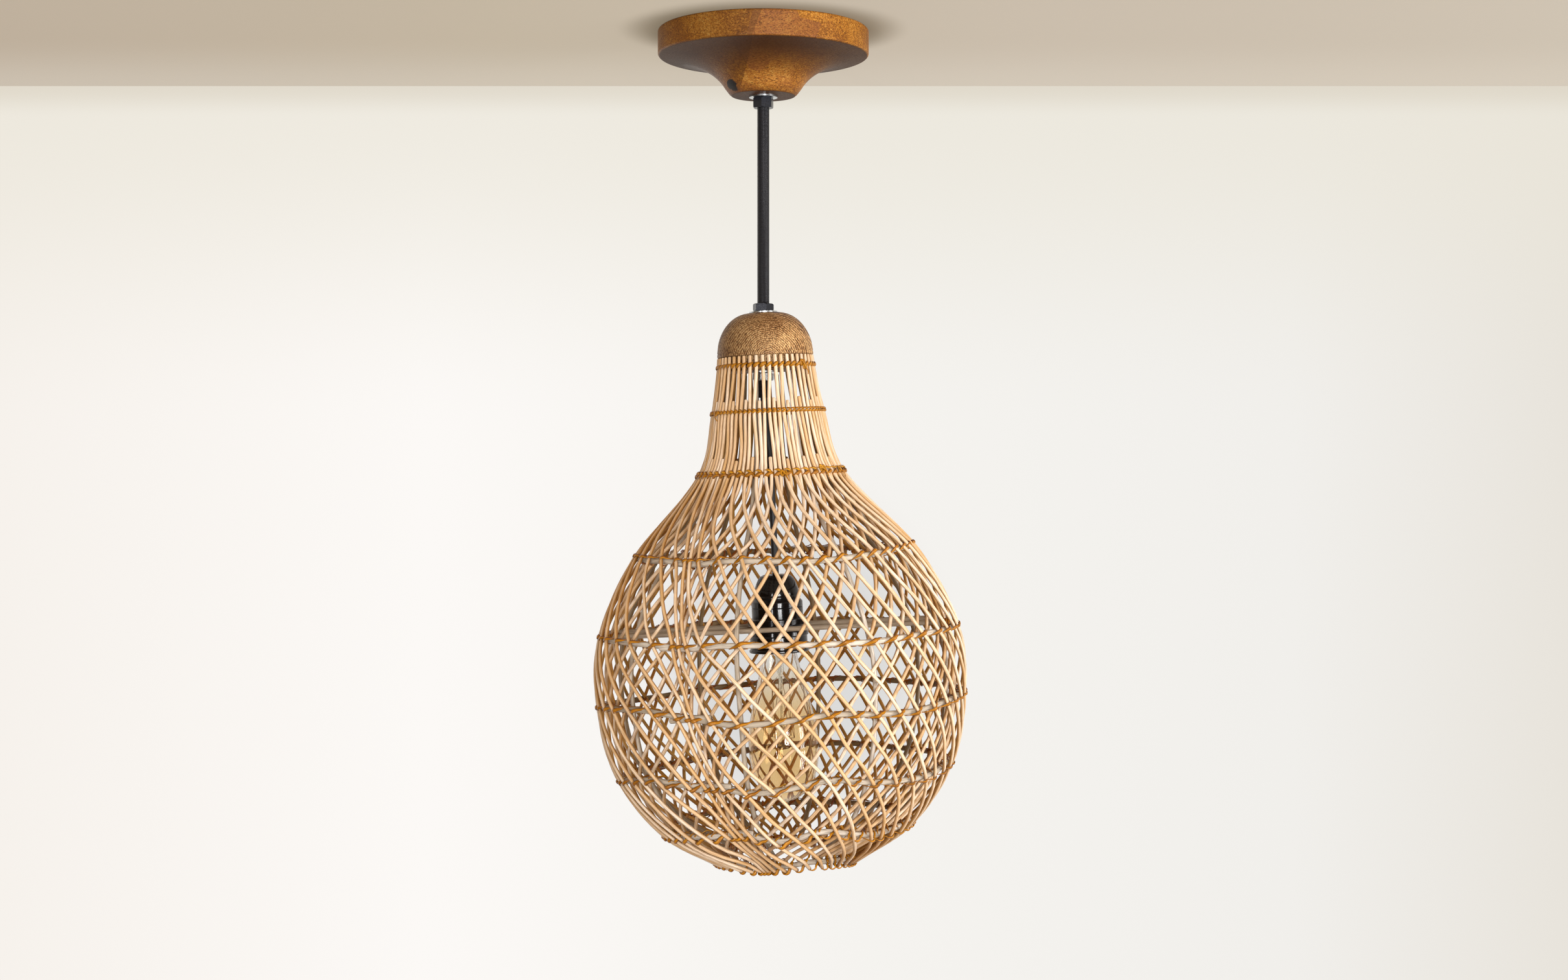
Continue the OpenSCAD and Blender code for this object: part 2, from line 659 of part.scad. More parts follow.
module cord_grip() color("#1c1c1e") in_shade() turned([
    [cable_d / 2 + 0.05, holder_drop + 0.4], [grip_r - 0.05, holder_drop + 0.4],
    [grip_r - 0.05, holder_drop + shell_t + 2.1], [7.2, holder_drop + shell_t + 2.1],
    [7.2, holder_drop + shell_t + 5], [cable_d / 2 + 0.05, holder_drop + shell_t + 5]
]);

module holder_cover() color("#151517") in_shade() {
    neck = holder_drop + shell_t + 2;
    slope_foot = holder_drop + 16;
    step = slope_foot + 6;
    turned([
        [grip_r, holder_drop], [boss_r, holder_drop], [boss_r, holder_drop + 2.5],
        [shoulder_r, slope_foot], [barrel_r, step], [barrel_r, shell_split - 0.1],
        [barrel_r - shell_t, shell_split - 0.1], [barrel_r - shell_t, step + 0.8],
        [shoulder_r - shell_t, slope_foot + 0.8], [boss_r - shell_t + 0.6, neck],
        [grip_r, neck]
    ]);
}

module holder_body() color("#151517") in_shade() turned([
    [bore_r, shell_split - 3], [barrel_r - shell_t - 0.1, shell_split - 3],
    [barrel_r - shell_t - 0.1, shell_split], [barrel_r, shell_split], [barrel_r, flange_top],
    [flange_r, flange_top], [flange_r, flange_foot], [skirt_r, flange_foot],
    [skirt_r, skirt_foot], [bore_r, skirt_foot], [bore_r, insert_foot + shelf_t],
    [shelf_r, insert_foot + shelf_t], [shelf_r, insert_foot + hair], [bore_r, insert_foot + hair]
]);

module holder_insert() color("ivory") in_shade() tube(bore_r - 0.1, 1.2, insert_top, insert_foot);

module holder_terminals() color("goldenrod") in_shade() for (side = [-1, 1]) {
    translate([side * terminal_x - 2.5, -3, 0.1 - insert_top]) difference() {
        cube([5, 6, 5.6]);
        translate([2.5, 3, 2.8]) rotate([0, 90, 0])
            cylinder(r = wire_d / 2 + 0.1, h = 6, center = true);
    }
}

module thread_sleeve() color("gold") in_shade()
    tube(sleeve_r + sleeve_t, sleeve_r, insert_foot + 0.1, skirt_foot - 4);

module centre_contact() color("goldenrod") in_shade() {
    leaf_t = 0.5;
    tube(3.2, 0, insert_foot + 0.1, insert_foot + 0.1 + leaf_t);
    translate([0, 0, -insert_foot - 0.1]) difference() {
        translate([-3, -2, 0.15 - contact_drop + insert_foot + 0.1])
            cube([6, 4, contact_drop - insert_foot - 0.25]);
        translate([-3 + leaf_t, -3, 0.15 - contact_drop + insert_foot + 0.1 + leaf_t])
            cube([6, 6, contact_drop - insert_foot - 0.25 - 2 * leaf_t]);
    }
}

module shade_ring() color("#151517") in_shade() {
    grip = 1.1;
    turned([
        [skirt_r + thread_fit, ring_top], [flange_r - 0.4, ring_top], [flange_r, ring_top + 0.8],
        [flange_r, ring_top + 4], [flange_r - grip, ring_top + 4.6],
        [flange_r - grip, ring_foot - 2.6], [flange_r - 0.2, ring_foot - 2],
        [flange_r - 0.2, ring_foot - 0.6], [flange_r - 0.8, ring_foot],
        [skirt_r + thread_fit, ring_foot]
    ]);
}

// ---- bulb ----

cap_shell_r = bulb_cap_d / 2;
cap_shell_top = contact_drop + 5;
cap_shell_foot = contact_drop + 24;
tip_drop = contact_drop + bulb_l;
glass_top = cap_shell_foot - 5;
glass_neck_r = cap_shell_r - 0.6;
belly_drop = cap_shell_foot + 0.6 * (tip_drop - cap_shell_foot);
stem_foot = cap_shell_foot + 22;
stem_tip_r = 2;

module bulb_contact() color("silver") in_shade() turned([
    [0, contact_drop], [3, contact_drop], [4.6, contact_drop + 1.2], [4.6, contact_drop + 2],
    [0, contact_drop + 2]
]);

module bulb_insulator() color("#202024") in_shade() turned([
    [0, contact_drop + 2.05], [5.6, contact_drop + 2.05], [cap_shell_r - 2.6, cap_shell_top - 0.3],
    [cap_shell_r - 2.6, cap_shell_top + 1], [0, cap_shell_top + 1]
]);

module bulb_cap() color("gainsboro") in_shade() turned([
    [cap_shell_r - 2.55, cap_shell_top], [cap_shell_r - 0.9, cap_shell_top],
    [cap_shell_r, cap_shell_top + 1.4], [cap_shell_r, cap_shell_foot],
    [cap_shell_r - 0.5, cap_shell_foot], [cap_shell_r - 0.5, cap_shell_top + 1.9],
    [cap_shell_r - 2.55, cap_shell_top + 1.2]
]);

// Radius of the glass's outside from the cap to the belly and round to the tip.
function glass_r(drop) =
    drop < belly_drop
        ? let (t = (drop - cap_shell_foot) / (belly_drop - cap_shell_foot))
          glass_neck_r + (bulb_d / 2 - glass_neck_r) * (0.35 * sqrt(max(0, t)) + 0.65 * smooth(t))
        : let (t = (drop - belly_drop) / (tip_drop - 2 - belly_drop))
          bulb_d / 2 * sqrt(max(0, 1 - min(1, t) ^ 2.6));

module bulb_glass() color("#f2c877", 0.4) in_shade() {
    steps = 22;
    reach = tip_drop - 2.2 - cap_shell_foot;
    drops = [for (k = [1:steps]) cap_shell_foot + reach * sin(90 * k / steps)];
    outside = [for (d = drops) [glass_r(d), d]];
    inside = [for (k = [steps - 3:-1:0]) [outside[k][0] - glass_t, outside[k][1] - glass_t / 3]];
    turned([
        [glass_neck_r - glass_t, glass_top], [glass_neck_r, glass_top],
        [glass_neck_r, cap_shell_foot], each outside, [2.2, tip_drop - 1.6], [1.2, tip_drop],
        [0, tip_drop], [0, tip_drop - 4], each inside, [glass_neck_r - glass_t, cap_shell_foot]
    ]);
}

module bulb_stem() color("lightblue", 0.5) in_shade() {
    flare_r = glass_neck_r - glass_t - 0.1;
    turned([
        [0, glass_top + 1], [flare_r, glass_top + 1], [flare_r, glass_top + 2.4],
        [3.6, glass_top + 8], [3, stem_foot - 4], [stem_tip_r - 0.4, stem_foot],
        [stem_tip_r - 0.6, belly_drop - 6], [stem_tip_r, belly_drop - 4],
        [stem_tip_r, belly_drop - 2], [0, belly_drop - 1]
    ]);
}

module strut(a, b, d) {
    axis = unit(b - a);
    side = unit(cross(axis, abs(axis[2]) < 0.9 ? [0, 0, 1] : [1, 0, 0]));
    place(side, cross(axis, side), axis, a) cylinder(d = d, h = norm(b - a), $fn = 16);
}

strand_count = 8;
upper_hook_r = 7;
lower_hook_r = 11;
upper_hook_drop = stem_foot + 6;
lower_hook_drop = belly_drop - 3;
filament_d = 0.5;

function hook_azimuth(k) = 360 * k / strand_count + 10;
function hook(k) =
    let (a = hook_azimuth(k))
    k % 2 == 0 ? [upper_hook_r * sin(a), -upper_hook_r * cos(a), -upper_hook_drop]
               : [lower_hook_r * sin(a), -lower_hook_r * cos(a), -lower_hook_drop];

// Support wires: a spider at each end of the cage, clear of the strand by half its thickness.
module bulb_leads() color("dimgray") in_shade() for (k = [0:strand_count - 1]) {
    tip = hook(k);
    near = (stem_tip_r + 0.4) / norm([tip[0], tip[1]]);
    root = [near * tip[0], near * tip[1], k % 2 == 0 ? tip[2] + 5 : tip[2]];
    strut(root, tip + 0.6 * unit(root - tip), 0.5);
}

// Its strands, each side of a hook by a little more than half their thickness.
module bulb_filament() color("orange") in_shade() for (k = [0:strand_count - 2])
    strut(hook(k) + beside_hook(k), hook(k + 1) - beside_hook(k + 1), filament_d);
function beside_hook(k) =
    let (a = hook_azimuth(k)) 0.65 * filament_d * [cos(a), sin(a), 0];

// ---- wiring ----

sheath_top = rod_top + 4;
rod_clear = 70;             // length over which the cable bends from the rod to the shade's axis

function shade_axis(z) = (-cap_drop - z) * tan(shade_lean);
cable_end = cap_drop + (holder_drop + cable_in) * cos(shade_lean);

module cable() color("#18181a") {
    bend_top = rod_foot - 12;
    free = [for (z = [bend_top:14:cable_end - 7]) z];
    wire([
        [0, 0, -sheath_top],
        for (z = free) [shade_axis(-z) * smooth((z - bend_top) / rod_clear), 0, -z],
        [shade_axis(-cable_end), 0, -cable_end]
    ], cable_d);
}

// One conductor out of the rod's top and over to its barrel in the terminal block.
module top_wire(x, y, barrel) wire([
    [x, y, 0.2 - sheath_top], [x, y, -rod_top + 1], [1.6 * x + 2, y + 2, -rod_top + 4],
    [0.35 * barrel + 1, 0.35 * block_corner[1] + y, tunnel_z + 1.5],
    [barrel - 0.6, block_corner[1] - 6, tunnel_z + 0.5], [barrel, block_corner[1] - 2, tunnel_z],
    [barrel, block_corner[1] + 7, tunnel_z]
], wire_d, [0.2, -0.3, 1]);

// Its other end, from the sheath to a terminal of the lampholder.
module foot_wire(side) in_shade() wire([
    [side * 1.2, 0, -holder_drop - cable_in - 0.2], [side * 1.6, 0, -holder_drop - cable_in - 1.6],
    [side * (terminal_x - 4.6), 0, 2.9 - insert_top],
    [side * (terminal_x - 2.8), 0, 2.9 - insert_top],
    [side * (terminal_x + 1.5), 0, 2.9 - insert_top]
], wire_d);

module live_wire() color("saddlebrown") {
    top_wire(1.3, 0.9, tunnel_x[0]);
    foot_wire(1);
}

module neutral_wire() color("royalblue") {
    top_wire(1.3, -1.3, tunnel_x[1]);
    foot_wire(-1);
}

module earth_wire() color("yellowgreen") wire([
    [earth_x + 3.6 + wire_d / 2, 0, strap_t - bracket_drop + 1.2],
    [earth_x + 8, 0.1 * strap_w, strap_t - bracket_drop + 4],
    [0.54 * earth_x, 0.4 * strap_w, -0.45 * bracket_drop],
    [0, strap_w / 2 + 3.5, -0.27 * bracket_drop],
    [tunnel_x[2] - 14, strap_w / 2 + 2, tunnel_z + 4],
    [tunnel_x[2] - 5, strap_w / 2 + 2.4, tunnel_z + 2],
    [tunnel_x[2] - 0.5, block_corner[1] - 1.6, tunnel_z],
    [tunnel_x[2], block_corner[1] + 2, tunnel_z], [tunnel_x[2], block_corner[1] + 7, tunnel_z]
], wire_d, [0.1, -0.4, 1]);

ceiling_bracket();
bracket_screws();
upper_rod_nut();
lower_rod_nut();
lock_washer();
terminal_block();
terminal_screws();
canopy();
canopy_washer();
canopy_nut();
rod();
cap_nut();
cap_washer();
wooden_cap();
inner_washer();
inner_nut();
outer_canes();
inner_canes();
ribs();
hoop_1();
hoop_2();
hoop_3();
hoop_4();
hoop_5();
rim_hoop();
neck_binding_1();
neck_binding_2();
neck_binding_3();
ties_1();
ties_2();
ties_3();
ties_4();
ties_5();
rim_binding();
bridge_bars();
bridge_ties();
cable();
live_wire();
neutral_wire();
earth_wire();
cord_grip();
holder_cover();
holder_body();
holder_insert();
holder_terminals();
thread_sleeve();
centre_contact();
shade_ring();
bulb_cap();
bulb_contact();
bulb_insulator();
bulb_glass();
bulb_stem();
bulb_leads();
bulb_filament();
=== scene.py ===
import functools
import json
import math

import bpy
import numpy as np
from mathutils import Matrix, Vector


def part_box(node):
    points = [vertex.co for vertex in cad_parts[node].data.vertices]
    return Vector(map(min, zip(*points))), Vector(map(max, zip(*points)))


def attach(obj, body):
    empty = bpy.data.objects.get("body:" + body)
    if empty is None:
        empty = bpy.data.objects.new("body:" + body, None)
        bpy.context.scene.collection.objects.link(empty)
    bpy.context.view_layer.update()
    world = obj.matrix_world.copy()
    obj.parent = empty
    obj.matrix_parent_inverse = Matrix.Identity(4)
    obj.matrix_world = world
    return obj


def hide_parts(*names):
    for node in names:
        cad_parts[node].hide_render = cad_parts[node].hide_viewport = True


# Pendant ceiling light. The shapes are worked out in millimetres in the shade's own frame and
# turned to the row's frame in metres when a mesh is made. "drop" runs down the shade's axis from
# the flat top of the wooden cap, azimuth 0 is the front, and depth runs square into the shade
# from the outer skin of its canes. The values repeat the part's own.

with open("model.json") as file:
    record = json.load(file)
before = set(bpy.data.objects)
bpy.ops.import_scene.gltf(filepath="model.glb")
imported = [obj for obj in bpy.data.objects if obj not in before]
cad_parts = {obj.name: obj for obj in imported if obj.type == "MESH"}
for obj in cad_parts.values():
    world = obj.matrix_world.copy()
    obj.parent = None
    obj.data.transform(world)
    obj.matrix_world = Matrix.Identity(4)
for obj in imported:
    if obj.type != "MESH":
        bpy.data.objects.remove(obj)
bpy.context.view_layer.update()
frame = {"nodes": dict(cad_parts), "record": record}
hand = np.random.default_rng(11)        # the maker's hand: how far each cane strays

# ---- camera ----

PICTURE_W = 2420
eye = bpy.data.objects.new("eye", bpy.data.cameras.new("eye"))
bpy.context.scene.collection.objects.link(eye)
bpy.context.scene.camera = eye
eye.data.sensor_width = 36.0
eye.data.lens = 36.0 * 3188 / PICTURE_W
eye.data.shift_y = -39 / PICTURE_W
eye.location = (0.0168, -1.677, -0.352)
eye.rotation_euler = (math.radians(90), 0, 0)

# ---- sizes, in millimetres ----

MM = 0.001
CAP_DROP, LEAN = 229.0, math.radians(2.7)
CAP_R, CAP_FLAT_R, CAP_DOME_H, CAP_LIP_H, SPIGOT_R, SPIGOT_H = 39.0, 12.0, 34.0, 1.2, 36.0, 11.8
CAP_FOOT = CAP_DOME_H + CAP_LIP_H
CAP_DEPTH = CAP_FOOT + SPIGOT_H
ROD_R, ROD_BORE_R, ROD_TOP = 5.0, 3.5, 13.0
CANES, CANE_D, CANE_TURN, CANE_TAIL = 48, 3.3, 16.0, 4.0
CANE_R = CANE_D / 2
HOOP_D, HOOP_GAP, RIB_D, RIB_START, RIBS = 4.5, 0.4, 3.8, -13.5, 8
BARK_T, BARK_FIT = 0.7, 0.28
NECK = [43.0, 80.0, 129.0]
HOOPS = [194.0, 258.0, 314.0, 370.0, 418.0, 444.0]
PITCH = 360 / CANES
HOOP_DEPTH = CANE_D + HOOP_GAP + HOOP_D / 2
INNER_DEPTH = HOOP_DEPTH + HOOP_D / 2 + 0.6 + CANE_R
RIB_DEPTH = INNER_DEPTH + CANE_R + 2 * BARK_FIT + BARK_T + RIB_D / 2
NECK_RIB_DEPTH = CANE_D + 2 * BARK_FIT + BARK_T + RIB_D / 2
CANE_TOP = CAP_FOOT + 0.3
RIM_SLOPE = (60.0 - 102.0) / (HOOPS[5] - HOOPS[4])
TAIL_DROP = CANE_TAIL / math.hypot(1, RIM_SLOPE)
CANE_END = HOOPS[5] + TAIL_DROP
NECK_R = [
    SPIGOT_R + 0.65 + CANE_D,
    1.5 * CANES * (CANE_D + 0.6) / (2 * math.pi) + CANE_R,
    2 * CANES * (CANE_D + 0.5) / (2 * math.pi) + CANE_R,
]
OUTLINE_DROP = [CANE_TOP, *NECK, *HOOPS, CANE_END]
OUTLINE_R = [
    NECK_R[0] - 0.5, *NECK_R, 116.0, 147.0, 150.0, 137.0, 102.0, 60.0,
    60.0 + RIM_SLOPE * TAIL_DROP,
]
TURN_DROP = [NECK[2], *HOOPS, CANE_END]
TURN_BAYS = [0, 1, 2, 3, 4, 5, 6, 6 + TAIL_DROP / (HOOPS[5] - HOOPS[4])]

# ---- the shade's surface ----


def smooth(t):
    """3t^2 - 2t^3 with t held between 0 and 1."""
    t = np.clip(t, 0, 1)
    return t * t * (3 - 2 * t)


def curve(x, y, v):
    """Cubic pieces through the points (x, y), read at v, each as steep as its neighbours' chord."""
    x, y, v = np.asarray(x, float), np.asarray(y, float), np.asarray(v, float)
    k = np.arange(len(x))
    before, after = np.maximum(k - 1, 0), np.minimum(k + 1, len(x) - 1)
    slope = (y[after] - y[before]) / (x[after] - x[before])
    i = np.clip(np.searchsorted(x, v, side="right") - 1, 0, len(x) - 2)
    h = x[i + 1] - x[i]
    t = (v - x[i]) / h
    return (
        y[i] * (2 * t**3 - 3 * t**2 + 1) + y[i + 1] * (3 * t**2 - 2 * t**3)
        + h * slope[i] * (t**3 - 2 * t**2 + t) + h * slope[i + 1] * (t**3 - t**2)
    )


def shade_r(drop):
    """Radius of the outer skin of the canes at a drop."""
    return curve(OUTLINE_DROP, OUTLINE_R, drop)


def flare(drop):
    """How fast that radius grows downwards."""
    return (shade_r(drop + 0.1) - shade_r(drop - 0.1)) / 0.2


def first_bay(drop):
    """0 above the third neck binding, 1 below hoop 1."""
    return np.clip((drop - NECK[2]) / (HOOPS[0] - NECK[2]), 0, 1)


def bays(drop):
    """Bays passed since the third neck binding: q^2 (2 - q) in the first, then one a hoop."""
    q = first_bay(drop)
    return np.where(drop < HOOPS[0], q * q * (2 - q), curve(TURN_DROP, TURN_BAYS, drop))


# The crease: azimuth where it starts and how far it swings, share and reach in degrees of the
# crowding beside it, depth and reach of its fold and of the cheek on its left.
CREASE_TOP, CREASE_SWING = -42, 22
CROWD, CROWD_REACH = 0.74, 19
FOLD, FOLD_REACH, CHEEK, CHEEK_REACH = 6.2, 8.5, 1.4, 9


def crease_azimuth(drop):
    """Azimuth of the crease, which runs from the third neck binding to the rim."""
    return CREASE_TOP + CREASE_SWING * (drop - NECK[2]) / (HOOPS[5] - NECK[2])


def from_crease(azimuth, drop):
    """Degrees from the crease, between -180 and 180; the front is on its positive side."""
    away = azimuth - crease_azimuth(drop)
    return away - 360 * np.floor((away + 180) / 360)


def crowded(azimuth, drop):
    """Canes drawn towards the crease by a share that falls off as exp(-(away / reach)^2)."""
    away = from_crease(azimuth, drop)
    return azimuth - CROWD * first_bay(drop) * away * np.exp(-((away / CROWD_REACH) ** 2))


def pinch(azimuth, drop):
    """How deep the crease folds in, in millimetres, with the fuller cheek on its left."""
    away = from_crease(azimuth, drop)
    grow = smooth((drop - HOOPS[0] + 50) / 90) * (1 - smooth((drop - HOOPS[4]) / 40))
    fold = FOLD * np.exp(-(((away - 3) / FOLD_REACH) ** 2))
    return grow * (fold - CHEEK * np.exp(-(((away + 15) / CHEEK_REACH) ** 2)))


def on_shade(drop, depth, azimuth):
    """Points (x, y, z) in the shade's frame: depth goes inwards, square to the skin."""
    drop, depth, azimuth = np.broadcast_arrays(
        np.asarray(drop, float), np.asarray(depth, float), np.asarray(azimuth, float))
    depth = depth + pinch(azimuth, drop)
    f = flare(drop)
    n = np.hypot(1, f)
    r, down = shade_r(drop) - depth / n, drop + depth * f / n
    a = np.radians(azimuth)
    return np.stack([r * np.sin(a), -r * np.cos(a), -down], -1)


def spread(drop):
    """How far the canes stand open for the first inner ones: 1 at the second neck binding.

    It grows from 0 at the first binding and is 0 again before the third.
    """
    return np.where(
        drop < NECK[1], smooth((drop - NECK[0]) / (NECK[1] - NECK[0])),
        1 - smooth((drop - NECK[1]) / (0.75 * (NECK[2] - NECK[1]))))


def skin_at(drop, depth):
    """Radius and drop of a point at a depth square under the skin."""
    f = flare(drop)
    n = math.hypot(1, f)
    return shade_r(drop) - depth / n, drop + depth * f / n


BAR_D, BAR_Y = 4.2, 24.5
BAR_DROP = skin_at(HOOPS[1], HOOP_DEPTH)[1] - HOOP_D / 2 - BAR_D / 2 - 0.15
BAR_REACH = skin_at(HOOPS[1], HOOP_DEPTH)[0] - 0.8
CANE_PHASE = CANE_TURN * float(bays(2 * BAR_DROP - skin_at(BAR_DROP, INNER_DEPTH)[1])) - PITCH / 2


def stray(count, reach):
    """Slow waves of a hand-laid cane: three sines of random phase for each of count canes."""
    phase = hand.uniform(0, 2 * math.pi, (count, 3))
    size = hand.uniform(0.3, 1.0, (count, 3)) * reach * np.array([1.0, 0.6, 0.3])

    def at(drop):
        wave = np.array([1 / 210, 1 / 92, 1 / 41]) * 2 * math.pi
        return (size * np.sin(np.asarray(drop)[..., None] * wave + phase)).sum(-1)
    return at


outer_stray, inner_stray = stray(CANES, 1.0), stray(CANES, 1.1)
number = np.arange(CANES)


def cane_azimuth(drop, place, turn, own):
    """Azimuth of every cane at a drop, or at a drop for each: its place, its turn, its stray."""
    cell = 2 * PITCH * (number // 2)
    return crowded(CANE_PHASE + cell + place + turn * bays(drop) + own, drop)


def outer_azimuth(drop):
    """The outer canes stand in pairs, drawn closer where room is made for the inner ones."""
    room = PITCH - PITCH / 3 * spread(drop)
    own = outer_stray(drop) * (0.35 + 0.65 * first_bay(drop))
    return cane_azimuth(drop, (number % 2) * room, CANE_TURN, own)


def inner_azimuth(drop):
    """The inner canes turn the other way; the odd ones come in early, one binding higher."""
    early = 1.5 * PITCH - PITCH / 6 * spread(drop)
    late = (PITCH - PITCH / 3 * spread(drop)) / 2
    own = inner_stray(drop) * (0.25 + 0.75 * first_bay(drop))
    return cane_azimuth(drop, np.where(number % 2 == 1, early, late), -CANE_TURN, own)


# How far below its plane each hoop runs, in mm along the skin, every 15 degrees from the back.
HOOP_WAVES = [
    [0, 0, 0, -1, -1.5, -2.5, -3.5, -4, -3.5, -3, -2.8, -2.8,
     -1, 0.8, -0.5, -2.2, -4, -5, -4.5, -3, -2, -1, 0, 0],
    [1, 0.5, 0, -0.5, -1.2, -2, -3, -3.8, -4.3, -3.3, -2.5, -3.2,
     -2.1, -0.8, 0.3, -0.8, -1, -0.5, 0, 0.8, 1.6, 2.4, 2.7, 1.6],
    [0.5, 1.6, 2.5, 4, 3, 1, -1.5, -4, -6, -7.6, -1.8, 2.3,
     0.9, -2.2, 0.8, 2.4, 0.6, -0.6, -1.1, 0, 1, 1, 0, -0.3],
    [2, 3.4, 5, 7, 6.5, 4.5, 3, 0.5, -4, -8, -2.8, 2.4,
     -1, -6.8, -0.8, 2.3, 3.2, -0.5, 0, 1, 2, 2.4, 1, 0.8],
    [0, 0, 1, 2, 2, 1.5, 1, 0, -3, -8, -10.5, -5.5,
     -5, -14, -5.5, 0.5, -0.5, -1, -1.5, -1, 0, 0, 0, 0],
    [0, 0, 0, 0, 0, 0, -1, -1.5, -3, -3, 0.5, 2.5,
     -2, -7, -4, -1.5, 3, 6, 8, 6, 3, 1, 0, 0],
]


def hoop_level(which, azimuth):
    """The wave of a hoop at an azimuth: a closed curve through its values."""
    wave = HOOP_WAVES[which]
    place = (np.asarray(azimuth, float) + 180) % 360
    return curve(np.arange(-15, 376, 15), [wave[-1], *wave, *wave[:2]], place)


# ---- meshes ----


def to_row(points):
    """The shade's frame, in millimetres, to the row's frame, in metres."""
    x, y, z = points[..., 0], points[..., 1], points[..., 2]
    c, s = math.cos(LEAN), math.sin(LEAN)
    return np.stack([x * c - z * s, y, x * s + z * c - CAP_DROP], -1) * MM


def make_piece(name, points, faces, body, slot, instead, flat=False, values=None):
    """A mesh from points in metres and index lists, as a piece that rides on a CAD body."""
    mesh = bpy.data.meshes.new(name)
    mesh.from_pydata(np.asarray(points, float).reshape(-1, 3).tolist(), [], faces)
    for key, data in (values or {}).items():
        kind, field = ("FLOAT_VECTOR", "vector") if data.ndim == 2 else ("FLOAT", "value")
        layer = mesh.attributes.new(key, kind, "POINT")
        layer.data.foreach_set(field, np.ascontiguousarray(data, np.float32).ravel())
    mesh.update()
    mesh.validate()
    if not flat:
        mesh.shade_smooth()
    piece = bpy.data.objects.new(name, mesh)
    bpy.context.scene.collection.objects.link(piece)
    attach(piece, body)
    mesh.materials.append(MATERIALS[slot])
    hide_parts(*instead)


def unit(v):
    """Vectors (..., n) drawn to length 1."""
    return v / np.maximum(np.linalg.norm(v, axis=-1, keepdims=True), 1e-9)


def radial(points):
    """Level direction away from the shade's axis."""
    return unit(points * np.array([1.0, 1.0, 0.0]))


def grid_faces(rows, sides, closed):
    """Quads of rows of points, each row a ring of sides; closed joins the last row to the first."""
    i, k = np.arange(rows if closed else rows - 1)[:, None], np.arange(sides)[None]
    near, far, next_k = i * sides, (i + 1) % rows * sides, (k + 1) % sides
    return np.stack([near + k, near + next_k, far + next_k, far + k], -1).reshape(-1, 4)


BACKWARDS = [0, 3, 2, 1]                   # a quad's corners the other way round


def sweep(paths, outward, section, closed=False):
    """Rings of a section carried along paths.

    paths and outward are (tubes, stations, 3), section (tubes, stations, corners, 2). A corner at
    (u, v) stands at path + u a + v b, where t is the path's direction, a the part of outward
    square to it, and b = t x a. Returns points, faces, the grain coordinates of each point, which
    are its place in the section and its length along the path, so fibres run with the piece, each
    piece's tone, and how far each point faces away from the shade's axis, from -1 to 1.
    """
    paths, outward, section = (np.asarray(v, float) for v in (paths, outward, section))
    tubes, stations = paths.shape[:2]
    section = np.broadcast_to(section, (tubes, stations, *section.shape[-2:]))
    corners = section.shape[2]
    if closed:
        along = unit(np.roll(paths, -1, 1) - np.roll(paths, 1, 1))
    else:
        along = unit(np.gradient(paths, axis=1))
    a = unit(outward - (outward * along).sum(-1, keepdims=True) * along)
    b = np.cross(along, a)
    points = (paths[:, :, None] + section[..., :1] * a[:, :, None]
              + section[..., 1:] * b[:, :, None])
    length = np.concatenate(
        [np.zeros((tubes, 1)), np.linalg.norm(np.diff(paths, axis=1), axis=-1).cumsum(1)], 1)
    grain = np.concatenate(
        [section, np.broadcast_to(length[:, :, None, None], (tubes, stations, corners, 1))], -1)
    grain = grain + hand.uniform(0, 400, (tubes, 1, 1, 3))
    tone = np.broadcast_to(hand.uniform(0, 1, (tubes, 1, 1)), (tubes, stations, corners))
    base = np.arange(tubes) * stations * corners
    faces = grid_faces(stations, corners, closed)[None] + base[:, None, None]
    faces = faces.reshape(-1, 4).tolist()
    if not closed:
        ring = np.arange(corners)
        for start in base:
            faces.append((start + ring[::-1]).tolist())
            faces.append((start + (stations - 1) * corners + ring).tolist())
    out = (unit(points - paths[:, :, None]) * radial(paths)[:, :, None]).sum(-1)
    return points.reshape(-1, 3), faces, grain.reshape(-1, 3), tone.ravel(), out.ravel()


def gather(parts):
    """Several sweeps as one: points, faces, grain, tone and facing laid end to end."""
    faces, shift = [], 0
    for points, some, *_ in parts:
        faces += [[v + shift for v in f] for f in some]
        shift += len(points)
    points, grain, tone, out = (np.concatenate([p[k] for p in parts]) for k in (0, 2, 3, 4))
    return points, faces, grain, tone, out


def swept_piece(name, parts, slot, instead):
    """A piece on the root body made of sweeps, with their values for the material."""
    points, faces, grain, tone, out = gather(parts)
    make_piece(name, to_row(points), faces, "root", slot, instead,
               values={"grain": grain, "tone": tone, "out": out})


def round_section(radius, corners, oval=1.0):
    """Circle of a radius that may differ at each station; oval flattens it across the skin."""
    turn = np.arange(corners) * 2 * math.pi / corners
    ring = np.stack([np.cos(turn) * oval, np.sin(turn)], -1)
    return np.asarray(radius, float)[..., None, None] * ring


def strip_section(width, thick):
    """A split strip of bark: flat underneath, crowned on top, thin at both edges."""
    shape = np.array([[0.75, -0.5], [0.75, 0.5], [0.0, 1.0], [-0.25, 0.0], [0.0, -1.0]])
    width = np.asarray(width, float)[..., None]
    return np.stack([shape[:, 0] * thick + 0 * width, shape[:, 1] * width / 2], -1)


